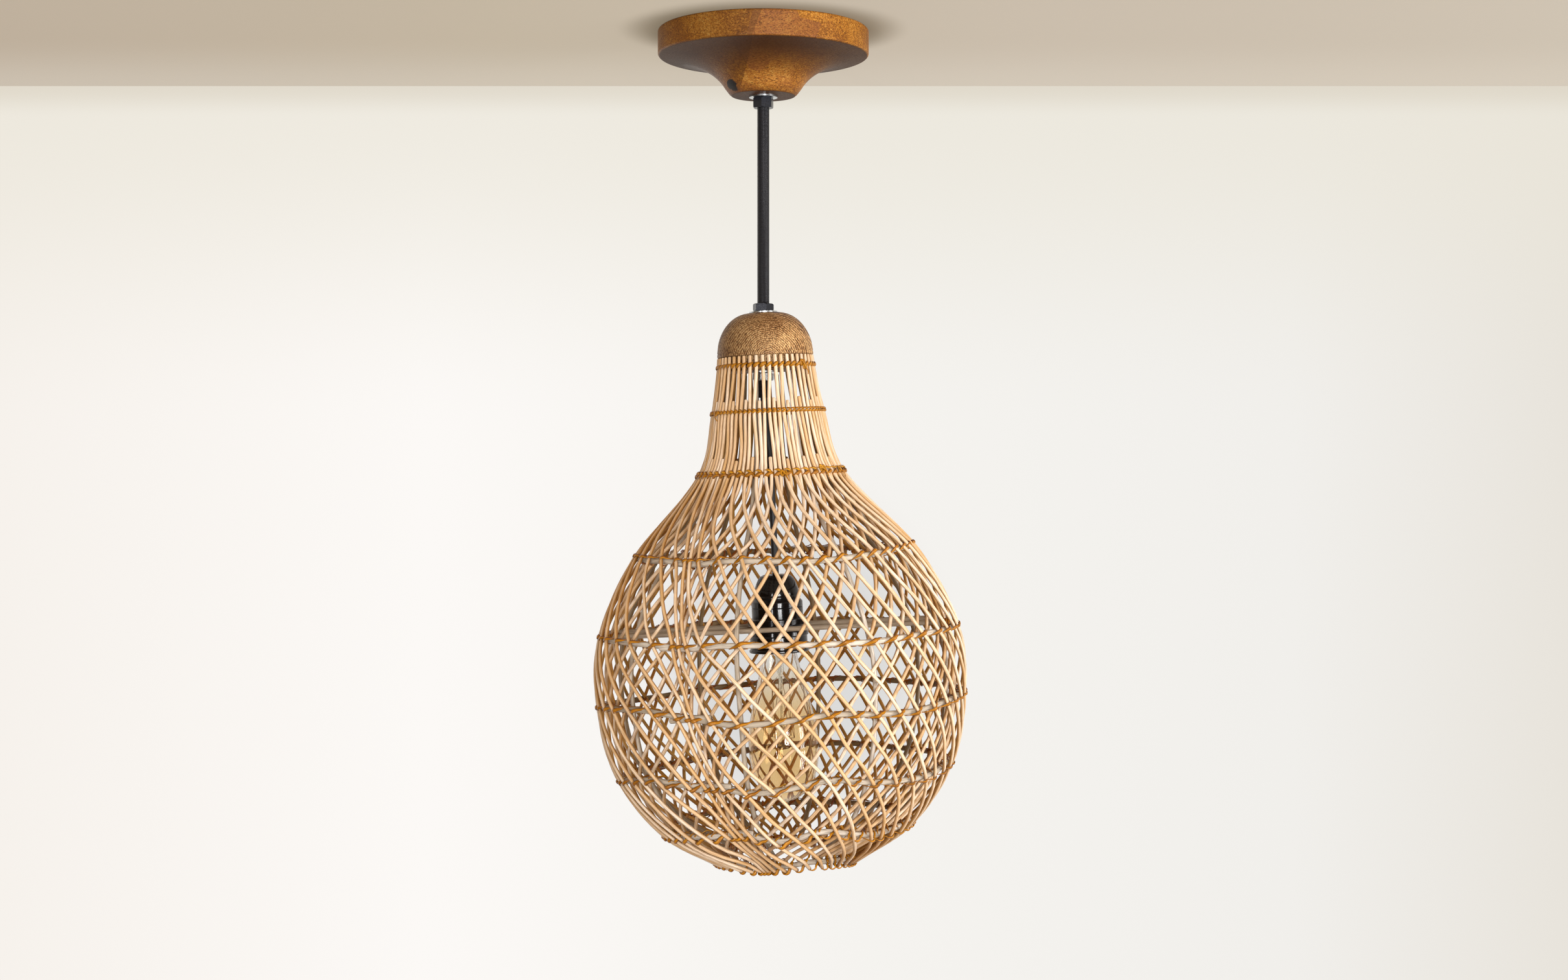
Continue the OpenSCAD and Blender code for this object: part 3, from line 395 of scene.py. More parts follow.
def along_keys(keys, closed):
    """Smooth curve through rows of keys (..., n, c), with one point halfway between two keys."""
    n = keys.shape[-2]
    at = np.arange(2 * n if closed else 2 * n - 1) / 2
    i = np.floor(at).astype(int)
    t = (at - i)[:, None]

    def key(offset):
        where = (i + offset) % n if closed else np.clip(i + offset, 0, n - 1)
        return keys[..., where, :]
    p0, p1, p2, p3 = key(-1), key(0), key(1), key(2)
    return 0.5 * (2 * p1 + (p2 - p0) * t + (2 * p0 - 5 * p1 + 4 * p2 - p3) * t**2
                  + (3 * p1 - p0 - 3 * p2 + p3) * t**3)


def lathe(profile, segments, rounding):
    """Turns a closed profile of (radius, drop) about the axis, with its corners rounded.

    Each corner becomes a short curve between two points rounding away from it, with one more
    point just outside each, which keeps the flats beside it flat.
    """
    profile = np.asarray(profile, float)
    rows = []
    for p, q, r in zip(np.roll(profile, 1, 0), profile, np.roll(profile, -1, 0)):
        back, on = p - q, r - q
        reach = min(rounding, 0.4 * np.hypot(*back), 0.4 * np.hypot(*on))
        if -np.dot(unit(back), unit(on)) > 0.94:      # nearly straight on: part of a drawn curve
            rows.append(q[None])
            continue
        a, b = q + reach * unit(back), q + reach * unit(on)
        t = np.linspace(0, 1, 5)[:, None]
        bend = (1 - t) ** 2 * a + 2 * t * (1 - t) * q + t**2 * b
        rows += [(q + 1.15 * (a - q))[None], bend, (q + 1.15 * (b - q))[None]]
    line = np.concatenate(rows)
    turn = np.arange(segments) * 2 * math.pi / segments
    points = np.stack([
        line[:, :1] * np.sin(turn), -line[:, :1] * np.cos(turn),
        np.broadcast_to(-line[:, 1:], (len(line), segments))], -1)
    return points.reshape(-1, 3), grid_faces(len(line), segments, True)[:, BACKWARDS].tolist()


def turned_piece(name, profile, slot, instead, segments=128, rounding=0.3, leaning=True,
                 body="root"):
    """A lathe piece. Profile drops count from the cap's top if it leans, or from the ceiling."""
    points, faces = lathe(profile, segments, rounding)
    area = sum(p[0] * q[1] - q[0] * p[1] for p, q in zip(profile, [*profile[1:], profile[0]]))
    if area < 0:                           # the profile ran the other way round
        faces = [f[::-1] for f in faces]
    make_piece(name, to_row(points) if leaning else points * MM, faces, body, slot, instead)


# ---- materials ----


def srgb(code):
    """Linear colour of an sRGB hex value."""
    c = [int(code[i:i + 2], 16) / 255 for i in (1, 3, 5)]
    return (*[v / 12.92 if v <= 0.04045 else ((v + 0.055) / 1.055) ** 2.4 for v in c], 1.0)


def add_node(tree, kind, sockets=None, stops=None, **settings):
    """Adds a node. settings are its own values, sockets its inputs' values or what they link to.

    A node given for a socket stands for its first output.
    """
    made = tree.nodes.new("ShaderNode" + kind)
    for key, value in settings.items():
        setattr(made, key, value)
    if stops:
        ramp = made.color_ramp.elements
        while len(ramp) < len(stops):
            ramp.new(0.5)
        for element, (place, colour) in zip(ramp, stops):
            element.position, element.color = place, srgb(colour)
    for key, value in (sockets or {}).items():
        if isinstance(value, bpy.types.Node):
            value = value.outputs[0]
        if isinstance(value, bpy.types.NodeSocket):
            tree.links.new(value, made.inputs[key])
        else:
            made.inputs[key].default_value = value
    return made


def new_material(name):
    """An empty material, and what adds a node to it."""
    material = bpy.data.materials.new(name)
    material.use_nodes = True
    material.node_tree.nodes.clear()
    return material, functools.partial(add_node, material.node_tree)


def finish_material(add, grain=None, dull=None, relief=None, sunk=False, **sockets):
    """The one Principled shader of a material, with its sockets, and the output.

    grain is noise that dulls the surface from dull's third value to its fourth as it goes from
    the first to the second, and stands out or is sunk by relief, which is (strength, distance).
    """
    names = {"colour": "Base Color", "rough": "Roughness", "metal": "Metallic",
             "normal": "Normal", "coat": "Coat Weight", "coat_rough": "Coat Roughness",
             "ior": "IOR", "through": "Transmission Weight", "inside": "Subsurface Weight",
             "gloss": "Specular IOR Level"}
    if grain:
        sockets["rough"] = add("MapRange", {
            "Value": grain, **dict(zip(("From Min", "From Max", "To Min", "To Max"), dull))})
        sockets["normal"] = add("Bump", {
            "Height": grain, "Strength": relief[0], "Distance": relief[1]}, invert=sunk)
    shader = add("BsdfPrincipled", {names[k]: v for k, v in sockets.items()})
    add("OutputMaterial", {"Surface": shader})


def overlay(add, body, colour, value, start, end, share=1.0, ease="LINEAR", blend="MIX"):
    """Lays a colour over body, by a share that grows from 0 as value goes from start to end."""
    mask = add("MapRange", {
        "Value": value, "From Min": start, "From Max": end, "To Max": share},
        interpolation_type=ease)
    return add("Mix", {0: mask, 6: body, 7: srgb(colour)}, data_type="RGBA",
               blend_type=blend).outputs[2]


def pattern(add, place, size, detail=2.0, rough=0.5):
    """Noise with features of a stated size along each axis, in the units of place."""
    spaced = add("VectorMath", {0: place, 1: tuple(1 / s for s in size)}, operation="MULTIPLY")
    return add("TexNoise", {
        "Vector": spaced, "Scale": 1.0, "Detail": detail, "Roughness": rough})


# Wax and cane are near 1.5, but a dry, porous skin of them throws back less than a smooth one.
DRY_IOR = 1.3


def rattan(name, tones, streak, blotch, inner, rough, bump, coat=0.0):
    """Rattan: fibres run with the piece, and each piece has a tone of its own.

    The fibres are drawn 0.5 mm wide and 16 mm long, a little coarser than real, so they show.
    The side that faces the shade's axis is multiplied by inner: painted shade, which darkens
    the inside of each piece and its edges as if in shadow, while the outside stays pale.
    """
    material, add = new_material(name)
    grain = add("Attribute", attribute_name="grain").outputs["Vector"]
    tone = add("Attribute", attribute_name="tone").outputs["Fac"]
    facing = add("Attribute", attribute_name="out").outputs["Fac"]
    body = add("ValToRGB", {"Fac": tone}, stops=[
        (k / (len(tones) - 1), c) for k, c in enumerate(tones)])
    fibres = pattern(add, grain, (0.5, 0.5, 16.0), 3.0, 0.6)
    patches = pattern(add, grain, (6.0, 6.0, 26.0))
    body = overlay(add, body, streak, fibres, 0.5, 0.7, 0.8)
    body = overlay(add, body, blotch, patches, 0.48, 0.78, 0.7)
    # painted shade: darker the more a point faces the shade's axis
    body = overlay(add, body, inner, facing, 0.92, -0.55, 1.0, "SMOOTHSTEP", "MULTIPLY")
    finish_material(add, fibres, (0.3, 0.7, rough - 0.08, rough + 0.1), (bump, 0.0002),
                    colour=body, coat=coat, coat_rough=0.25, ior=DRY_IOR)
    return material


def mango_wood(name, tones, patch_and_left_shade, pore, pore_size, fleck_size, rings=None, staves=None,
               joint=None, knot=None, under=None):
    """Turned mango wood, waxed. Short dark pores lie along the grain in a mottled ground.

    rings is (centre, spacing) of growth rings round the Y axis; staves is the size of the glued
    blocks, each with a tone and a grain of its own; joint is the normal of a plane through the
    origin past which the wood is a darker board; knot is (centre, radius) of a black knot; under
    is the colour of painted shade on the faces that look down, where the gloss is lowered too.
    The patch colour tints some staves, or without staves is painted shade over the left side.
    """
    material, add = new_material(name)
    place = add("TexCoord").outputs["Object"]
    ground = place
    if staves:
        turned = add("Mapping", {
            "Vector": place, "Rotation": (0, math.radians(24), math.radians(38))})
        blocks = add("VectorMath", {0: turned, 1: tuple(1 / s for s in staves)},
                     operation="MULTIPLY")
        cells = add("TexVoronoi", {"Vector": blocks, "Scale": 1.0, "Randomness": 0.7},
                    distance="CHEBYCHEV").outputs["Color"]
        moved = add("VectorMath", {0: cells, 1: (0.4, 0.3, 0.2)}, operation="MULTIPLY")
        ground = add("VectorMath", {0: place, 1: moved}, operation="ADD")
    cloud = add("TexNoise", {"Vector": ground, "Scale": 34.0, "Detail": 5.0, "Roughness": 0.65})
    mottle = pattern(add, ground, fleck_size, 4.0, 0.75)
    depth = add("Math", {0: cloud, 1: 0.35}, operation="MULTIPLY")
    depth = add("Math", {0: mottle, 1: 0.65, 2: depth}, operation="MULTIPLY_ADD")
    warp = 0.005
    bend = add("TexNoise", {"Vector": ground, "Scale": 60.0, "Detail": 3.0}).outputs["Color"]
    bend = add("VectorMath", {0: bend, 1: (warp,) * 3}, operation="MULTIPLY")
    warped = add("VectorMath", {0: ground, 1: bend}, operation="ADD")
    if rings:                              # at Scale 1 the rings are 0.314 apart
        centre, spacing = rings
        about = add("Mapping", {
            "Vector": warped, "Location": tuple(-c - warp / 2 for c in centre)})
        lines = add("TexWave", {
            "Vector": about, "Scale": 0.314 / spacing, "Distortion": 4.0, "Detail": 4.0,
            "Detail Scale": 3.0, "Detail Roughness": 0.8}, wave_type="RINGS",
            rings_direction="Y").outputs["Fac"]
        depth = add("Math", {0: lines, 1: 0.15, 2: depth}, operation="MULTIPLY_ADD")
        depth = add("Math", {0: depth, 1: 0.15 / 2}, operation="SUBTRACT")
    body = add("ValToRGB", {"Fac": depth}, stops=list(zip((0.36, 0.46, 0.54, 0.64), tones)))
    if staves:
        block = add("SeparateColor", {"Color": cells})
        body = overlay(add, body, patch_and_left_shade, block, 0.4, 0.9, 0.6)
    else:
        # Painted shade: without staves the left side is darkened, as if lit from the right.
        across = add("SeparateXYZ", {0: place})
        body = overlay(add, body, patch_and_left_shade, across, 0.03, -0.03, 0.55)
    if joint:
        past = add("VectorMath", {0: place, 1: joint}, operation="DOT_PRODUCT").outputs["Value"]
        body = overlay(add, body, "#5e3a18", past, 0.0003, -0.0003, 0.5)
    pores = pattern(add, warped, pore_size, 2.0, 0.6)
    body = overlay(add, body, pore, pores, 0.53, 0.63, 0.8)
    if knot:
        centre, radius = knot
        far = add("VectorMath", {0: place, 1: centre}, operation="DISTANCE").outputs["Value"]
        ragged = add("Math", {0: cloud, 1: radius * 1.6, 2: far}, operation="MULTIPLY_ADD")
        body = overlay(add, body, "#120a06", ragged, radius * 1.7, radius * 1.55)
    gloss = 0.5
    if under:
        # Painted shade: faces that look down are darkened, and their gloss lowered.
        down = add("SeparateXYZ", {0: add("NewGeometry").outputs["Normal"]}).outputs["Z"]
        body = overlay(add, body, under, down, -0.6, -0.97, 0.92)
        gloss = add("MapRange", {
            "Value": down, "From Min": -0.6, "From Max": -0.97, "To Min": 0.5, "To Max": 0.132})
    finish_material(add, pores, (0.3, 0.7, 0.42, 0.58), (0.25, 0.0003), sunk=True,
                    colour=body, ior=DRY_IOR, gloss=gloss)
    return material


def speckled(name, colour, second, grit, rough, metal=0.0, bump=0.1, **more):
    """A metal or moulded finish: two close colours in noise of a stated grit size.

    The real grain is finer; the grit is as coarse as it needs to be to show.
    """
    material, add = new_material(name)
    noise = pattern(add, add("TexCoord").outputs["Object"], (grit,) * 3, 3.0, 0.6)
    body = add("Mix", {0: noise, 6: srgb(colour), 7: srgb(second)}, data_type="RGBA").outputs[2]
    finish_material(add, noise, (0.25, 0.75, rough * 0.8, rough * 1.25), (bump, 0.0001),
                    colour=body, metal=metal, **more)
    return material


def clear_glass(name, tint, wash=None):
    """Blown soda-lime glass, smooth; a wash of colour may grow over 45 mm below its neck."""
    material, add = new_material(name)
    colour = srgb(tint)
    if wash:
        high = add("SeparateXYZ", {0: add("TexCoord").outputs["Object"]}).outputs["Z"]
        colour = overlay(add, colour, wash, high, -0.512, -0.557)
    finish_material(add, colour=colour, rough=0.0, through=1.0, ior=1.46)
    return material


# In each rattan the last colour is painted shade, laid on the side that faces the shade's axis.
MATERIALS = {
    # Peeled rattan core, sanded and unlacquered: pale straw with pinkish and brown fibres, satin.
    "cane": rattan(
        "peeled_rattan", ["#e1b988", "#edcca5", "#f5dcbe", "#fbe9d4"],
        "#b07e3c", "#d2a25c", "#b69656", 0.46, 0.5),
    # Unpeeled older core for hoops, ribs and bars: grey-beige, drier, with brown streaks.
    "hoop_cane": rattan(
        "weathered_rattan_core", ["#c2b6a4", "#d3c8b8", "#e6ddd0"],
        "#84705a", "#b3a38c", "#a08d70", 0.5, 0.6),
    # Split rattan bark, darkened with age: orange to honey, with the plant's own glassy skin.
    "bark": rattan(
        "rattan_bark", ["#a86c12", "#c48419", "#dba02e"],
        "#6c420c", "#925e14", "#b2904a", 0.34, 0.5, coat=0.12),
    # Mango wood glued from staves, turned and waxed: golden brown with reddish staves and dark
    # flecks, a darker board on one side, a black knot, and painted shade on the underside, which
    # is also less glossy.
    "canopy_wood": mango_wood(
        "waxed_mango_canopy", ["#5a3310", "#93591a", "#be7f2a", "#dcac58"], "#8a5430", "#43260c",
        (0.0016, 0.0006, 0.0006), (0.0022, 0.0012, 0.0012), staves=(0.06, 0.05, 0.09),
        joint=(0.939, 0.0, -0.344), knot=((-0.0238, -0.0165, -0.0465), 0.0068),
        under="#3a2210"),
    # Mango wood turned across the grain and waxed: tan, with painted shade darkening its left
    # side, arched rings round its foot, short dark pores.
    "cap_wood": mango_wood(
        "waxed_mango_cap", ["#452a14", "#805430", "#c29460", "#f0cb90"], "#4e341e", "#331f14",
        (0.0006, 0.0006, 0.0018), (0.0012, 0.0012, 0.0022), rings=((0.004, 0.0, -0.268), 0.0015)),
    # Zinc plated steel: bright grey, slightly bluish, satin.
    "zinc_steel": speckled("zinc_plated_steel", "#cfd2d4", "#b4b8bc", 0.0009, 0.28, 1.0),
    # Free-cutting brass, machined: warm yellow, its turning marks seen as a satin grain.
    "brass": speckled("machined_brass", "#cfa650", "#b98f3e", 0.0008, 0.26, 1.0),
    # Moulded polyamide terminal block: milky and matt.
    "white_plastic": speckled(
        "moulded_polyamide", "#e6e3da", "#dcd8cc", 0.0006, 0.5, inside=0.1),
    # Steel blackened in a hot salt bath: blue-black, worn brighter in the grain.
    "blackened_steel": speckled(
        "blackened_steel", "#23252c", "#353842", 0.0012, 0.3, 0.6, coat=0.2, coat_rough=0.2),
    # The rod's rolled thread, blackened: darker, because dust and oil sit in the thread.
    "blackened_rod": speckled(
        "blackened_thread", "#141318", "#202026", 0.0016, 0.4, 0.3, bump=0.15),
    # Extruded PVC sheath: black with a soft shine.
    "black_sheath": speckled("cable_sheath", "#131315", "#1c1c1f", 0.0009, 0.42),
    # Extruded PVC insulation of the three conductors: even colour, soft shine; the earth's green
    # and yellow are in patches 4 mm long.
    "brown_insulation": speckled("brown_insulation", "#6b3f22", "#5c3318", 0.0009, 0.38),
    "blue_insulation": speckled("blue_insulation", "#2b56a8", "#244c97", 0.0009, 0.38),
    "green_insulation": speckled("green_insulation", "#5d9a35", "#c9c238", 0.004, 0.38),
    # Phenolic resin, pressed in a polished mould: deep black, high gloss.
    "holder_plastic": speckled("pressed_phenolic", "#060607", "#0b0b0d", 0.0007, 0.12, bump=0.03),
    # Steatite, pressed and fired: cream, slightly grainy.
    "holder_ceramic": speckled("steatite", "#e6e1d4", "#d8d2c2", 0.0008, 0.45),
    # Nickel plated brass screw cap, rolled thin: warm grey and bright.
    "nickel_cap": speckled("nickel_plate", "#d2cdc4", "#bdb8ae", 0.001, 0.22, 1.0),
    # Tin solder, a drop set in air: dull grey.
    "solder": speckled("tin_solder", "#a9aaac", "#c3c4c6", 0.0006, 0.4, 1.0),
    # Black glass fused round the contact: deep black, glossy.
    "black_glass": speckled("black_vitrite", "#101014", "#1b1b20", 0.0007, 0.12),
    # Blown bulb with an amber wash: clear at the neck, warm and smooth below it.
    "amber_glass": clear_glass("amber_bulb_glass", "#fdfcf9", "#fde8c3"),
    # Drawn stem tube: clear, a little green.
    "clear_glass": clear_glass("stem_glass", "#f2f5f2"),
    # Drawn nickel wire: warm grey, satin.
    "nickel_wire": speckled("nickel_wire", "#c4c0b6", "#9a968c", 0.0008, 0.3, 1.0),
    # Carbonised coil, unlit: dull bronze.
    "filament": speckled("coiled_filament", "#9a7440", "#6f5230", 0.0008, 0.4, 0.8),
}

slot_of = {s["node"]: s["material_slot"] for s in frame["record"]["subparts"]}
for node_name, node_object in frame["nodes"].items():
    node_object.data.materials.clear()
    node_object.data.materials.append(MATERIALS[slot_of[node_name]])

# ---- canes, ribs and hoops ----


def cane_paths(starts, ends, azimuth_of, depth_of, stations):
    """Paths of all canes: stations spaced evenly from each start drop to its end drop."""
    share = np.linspace(0, 1, stations)[:, None]
    drop = starts + share * (ends - starts)             # (stations, canes)
    foot = hoop_level(5, azimuth_of(drop[-1:])) / math.hypot(1, RIM_SLOPE)
    drop = drop + foot * smooth((drop - HOOPS[4]) / (CANE_END - HOOPS[4]))
    return on_shade(drop, depth_of(drop), azimuth_of(drop)).transpose(1, 0, 2)


def blunt(radius, stations):
    """A cane's radius at each station, with its cut ends rounded over."""
    r = np.full(stations, 1.0)
    r[[0, -1]] = 0.72
    return radius[:, None] * r


def ends_tucked(paths, reach=0.55):
    """Draws the second and last but one station close to the ends, so the rounding is short."""
    for end, beside in ((0, 1), (-1, -2)):
        step = unit(paths[:, beside] - paths[:, end])
        paths[:, beside] = paths[:, end] + reach * step
    return paths


def layer_depth(neck, full):
    """Depth of a layer at a drop: neck above the third binding, full from 0.55 of the next bay."""
    return lambda drop: neck + (full - neck) * np.minimum(1, first_bay(drop) / 0.55)


def lay_canes(name, node, slot, paths, radius, corners, oval=1.0):
    """A piece of round canes along paths, which stands for the part's node."""
    canes = sweep(paths, radial(paths), round_section(radius, corners, oval))
    swept_piece(name, [canes], slot, [node])


def build_canes():
    """Outer canes start under the cap, inner ones in turn above the second and third bindings."""
    stations = 86
    uneven = 1.5 * np.sin(np.radians(np.where(number % 2 == 1, 97, 61) * number))
    inner_starts = np.where(number % 2 == 1, NECK[1] - 9, NECK[2] - 12) - uneven
    for name, node, azimuth_of, depth_of, starts in (
        ("outer_canes_laid", "outer_canes", outer_azimuth, layer_depth(CANE_R, CANE_R),
         np.full(CANES, CANE_TOP)),
        ("inner_canes_laid", "inner_canes", inner_azimuth, layer_depth(CANE_R, INNER_DEPTH),
         inner_starts),
    ):
        ends = CANE_END + hand.uniform(-1.6, 0.0, CANES)
        paths = ends_tucked(cane_paths(starts, ends, azimuth_of, depth_of, stations))
        thick = CANE_R * hand.uniform(0.88, 0.98, CANES)
        along = np.arange(stations)[None] * 0.11 + hand.uniform(0, 6, (CANES, 1))
        radius = blunt(thick, stations) * (1 - 0.025 * (1 + np.sin(along * 3.1)))
        lay_canes(name, node, "cane", paths, radius, 8, 0.95)


def build_ribs():
    stations = 60
    azimuths = RIB_START + 360 * np.arange(RIBS) / RIBS
    paths = cane_paths(
        np.full(RIBS, CAP_DEPTH + 0.6), np.full(RIBS, CANE_END - 1),
        lambda drop: azimuths + 0 * drop + 0.5 * np.sin(drop / 37 + azimuths),
        layer_depth(NECK_RIB_DEPTH, RIB_DEPTH), stations)
    paths = ends_tucked(paths)
    radius = blunt(RIB_D / 2 * hand.uniform(0.93, 1.0, RIBS), stations)
    lay_canes("ribs_laid", "ribs", "hoop_cane", paths, radius, 10)


def build_hoops():
    """Each hoop is one cane bent round, its two ends side by side at the crease."""
    stations, lap, apart, fade = 150, 7.0, 1.15, 11.0
    for which, node in enumerate(["hoop_1", "hoop_2", "hoop_3", "hoop_4", "hoop_5", "rim_hoop"]):
        drop = HOOPS[which]
        crease = crease_azimuth(drop)
        turn = -lap + np.linspace(0, 1, stations) * (360 + 2 * lap)
        level = hoop_level(which, crease + np.clip(turn, 0.01, 359.99))
        aside = apart * (np.exp(-np.clip(turn + lap, 0, None) / fade)
                         - np.exp(-np.clip(360 + lap - turn, 0, None) / fade))
        path = on_shade(drop + (level + aside) / math.hypot(1, flare(drop)), HOOP_DEPTH,
                        crease + turn)[None]
        path = ends_tucked(path, 0.8)
        radius = blunt(np.array([HOOP_D / 2 * 0.97]), stations)
        lay_canes(f"{node}_bent", node, "hoop_cane", path, radius, 12)


# ---- bark ----


def laid_keys(drop, level, azimuths, keys, drawn_in, hub_depth):
    """Keys (s, t, depth) of one wrap set at each azimuth, as points and outward directions.

    s runs along the hoop and t down the skin, in millimetres; s is drawn in with the room that
    the wrap has on each side. The strip faces away from a hub at its own depth.
    """
    r = shade_r(drop)
    az = np.sort(azimuths % 360)
    gap = np.radians((np.roll(az, -1) - az) % 360) * r
    s = keys[None, :, 0]
    s = drawn_in(s, np.where(s < 0, np.roll(gap, 1)[:, None], gap[:, None]) / 2)
    where = az[:, None] + np.degrees(s / r)
    n = math.hypot(1, flare(drop))
    down = drop + (keys[None, :, 1] + level(where)) / n
    points = on_shade(down, keys[None, :, 2] + 0 * s, where)
    hub = on_shade(drop + level(where) / n, hub_depth, where)
    return points, points - hub


# One wrap over an outer cane on a hoop: up from under the hoop on the left, over the cane,
# down across the hoop to the right and behind it. Columns: s, t, depth, width.
BEHIND = HOOP_DEPTH + HOOP_D / 2 + 0.18
HUB, NECK_HUB = 5.4, 5.0
WRAP = np.array([
    [-9.2, 1.0, BEHIND, 1.7],
    [-8.2, 2.5, 6.6, 1.5],
    [-6.2, 2.3, 4.3, 1.9],
    [-3.4, 1.7, 2.4, 2.7],
    [-1.5, 0.9, 0.1, 3.0],
    [0.1, 0.1, -0.5, 3.0],
    [1.7, -0.7, 0.2, 2.9],
    [3.6, -1.2, 2.5, 2.7],
    [6.2, -1.6, 3.5, 2.3],
    [8.4, -2.5, 5.3, 1.8],
    [9.6, -2.2, 7.3, 1.6],
    [10.0, -0.4, BEHIND, 1.7],
])


def hoop_room(s, room):
    """Beside the cane the wrap shortens with its room; within 2 mm of its middle it doesn't."""
    squeeze = np.clip((room - 2) / 7.8, 0.05, 1.3)
    return np.sign(s) * (np.minimum(np.abs(s), 2) + np.maximum(np.abs(s) - 2, 0) * squeeze)


def hand_widths(keys, count, low, high):
    """Widths of the keys of each of count wraps, all of one wrap a little wide or narrow."""
    return keys[None, :, 3:] * hand.uniform(low, high, (count, 1, 1))


def bark_strips(points, faced, widths, thick, joined=True):
    """Wraps as strips: joined in order round the shade into one closed strip, or left apart."""
    keys = np.concatenate([points, faced, widths], -1)
    line = along_keys(keys.reshape(1, -1, 7) if joined else keys, joined)
    return sweep(line[..., :3], line[..., 3:6], strip_section(line[..., 6], thick), joined)


def build_hoop_ties():
    for which, node in enumerate(["ties_1", "ties_2", "ties_3", "ties_4", "ties_5", "rim_binding"]):
        drop, level = HOOPS[which], functools.partial(hoop_level, which)
        size, thick = (1.0, 0.5) if which < 4 else (1.12, 0.85)
        widths = hand_widths(WRAP * size, CANES, 0.85, 1.1)
        points, faced = laid_keys(drop, level, outer_azimuth(drop), WRAP, hoop_room, HUB)
        outside = bark_strips(points, faced, widths, thick)
        inner = WRAP[-2:0:-1] * np.array([-1.0, 1.0, 1.0, 1.0])
        inner[:, 2] = HOOP_DEPTH + (HOOP_DEPTH - inner[:, 2]) * 1.03
        points, faced = laid_keys(drop, level, inner_azimuth(drop), inner, hoop_room,
                                  2 * HOOP_DEPTH - HUB)
        inside = bark_strips(points, faced, widths[:, -2:0:-1] * 0.85, 0.45, joined=False)
        swept_piece(f"bark_{node}", [outside, inside], "bark", [node])


def no_level(azimuth):
    """A binding that runs level."""
    return 0 * azimuth


def cell_room(s, room):
    """s counts in halves of the room between canes."""
    return s * room


def neck_rows(drop, azimuths, rise, width, crest, thick):
    """Two twined strips that meet in a chevron on each cane or pair, and a strip inside."""
    parts = []
    for side in (-1, 1):
        keys = np.array([
            [-0.88, side * rise, 2.2, 0.7 * width],
            [-0.42, side * rise * 0.86, -0.05, width],
            [0.12, side * rise * 0.52, -crest, width],
            [0.62, side * rise * 0.14, 0.1 - 0.25 * side, 0.9 * width],
            [0.98, side * rise * 0.4, 2.2, 0.7 * width],
        ])
        points, faced = laid_keys(drop, no_level, azimuths, keys, cell_room, NECK_HUB)
        widths = hand_widths(keys, len(azimuths), 0.88, 1.1)
        parts.append(bark_strips(points, faced, widths, thick))
    azimuth = np.arange(0, 360, 3.75)
    back = CANE_D + 0.35 + 0.12 * np.sin(np.radians(azimuth) * 24)
    path = on_shade(drop, back, azimuth)[None]
    strip = strip_section(np.full(path.shape[:2], 1.5 * width), 0.4)
    parts.append(sweep(path, -radial(path), strip, closed=True))
    return parts


def knot(drop, azimuth, size):
    """A strip tied in a figure of eight: s = size sin a, t = 0.8 size sin 2a, and its loose end."""
    width, count = 1.8, 16
    a = np.arange(count) * 2 * math.pi / count
    r = shade_r(drop)
    where = azimuth + np.degrees(size * np.sin(a) / r)
    points = on_shade(drop + 0.8 * size * np.sin(2 * a), -0.9 - 0.5 * np.cos(a), where)[None]
    loop = bark_strips(points, radial(points), np.full((1, count, 1), width), 0.45)
    t = np.linspace(0, 1, 6)
    tail = on_shade(drop + 0.5 + 5.5 * t, -0.9 + 0.9 * t - 1.4 * np.sin(t * math.pi),
                    azimuth + np.degrees((0.8 + 2.4 * t * t) / r))[None]
    widths = (width - t * width / 2)[None, :, None]
    return [loop, bark_strips(tail, radial(tail), widths, 0.4, joined=False)]


def build_neck_bindings():
    """One strip wound on single canes, then twined rows on canes and on pairs, with their knots."""
    lone = np.array([
        [-0.9, 1.9, 2.3, 1.6],
        [-0.5, 1.3, 0.1, 2.6],
        [0.0, 0.1, -0.5, 3.0],
        [0.5, -1.1, 0.1, 2.7],
        [0.9, -1.8, 2.3, 1.8],
        [1.0, -0.2, 3.2, 1.5],
    ])
    points, faced = laid_keys(NECK[0], no_level, outer_azimuth(NECK[0]), lone, cell_room, NECK_HUB)
    first = bark_strips(points, faced, hand_widths(lone, CANES, 0.75, 1.2), 0.5)
    swept_piece("bark_neck_1", [
        first, *knot(NECK[0] - 0.5, 47, 2.3), *knot(NECK[0] + 3, 50, 1.8)],
        "bark", ["neck_binding_1"])
    second = np.concatenate([outer_azimuth(NECK[1]), inner_azimuth(NECK[1])[1::2]])
    swept_piece("bark_neck_2", [
        *neck_rows(NECK[1], second, 1.5, 1.9, 0.6, 0.45), *knot(NECK[1] + 0.5, -62, 2.2)],
        "bark", ["neck_binding_2"])
    pairs = (outer_azimuth(NECK[2]) + inner_azimuth(NECK[2])) / 2
    swept_piece("bark_neck_3", [
        *neck_rows(NECK[2], pairs, 3.0, 2.9, 0.9, 0.6), *knot(NECK[2] - 1, 44, 2.8),
        *knot(NECK[2] + 1.5, 10, 2.2), *knot(NECK[2] + 0.5, 66, 2.4)],
        "bark", ["neck_binding_3"])


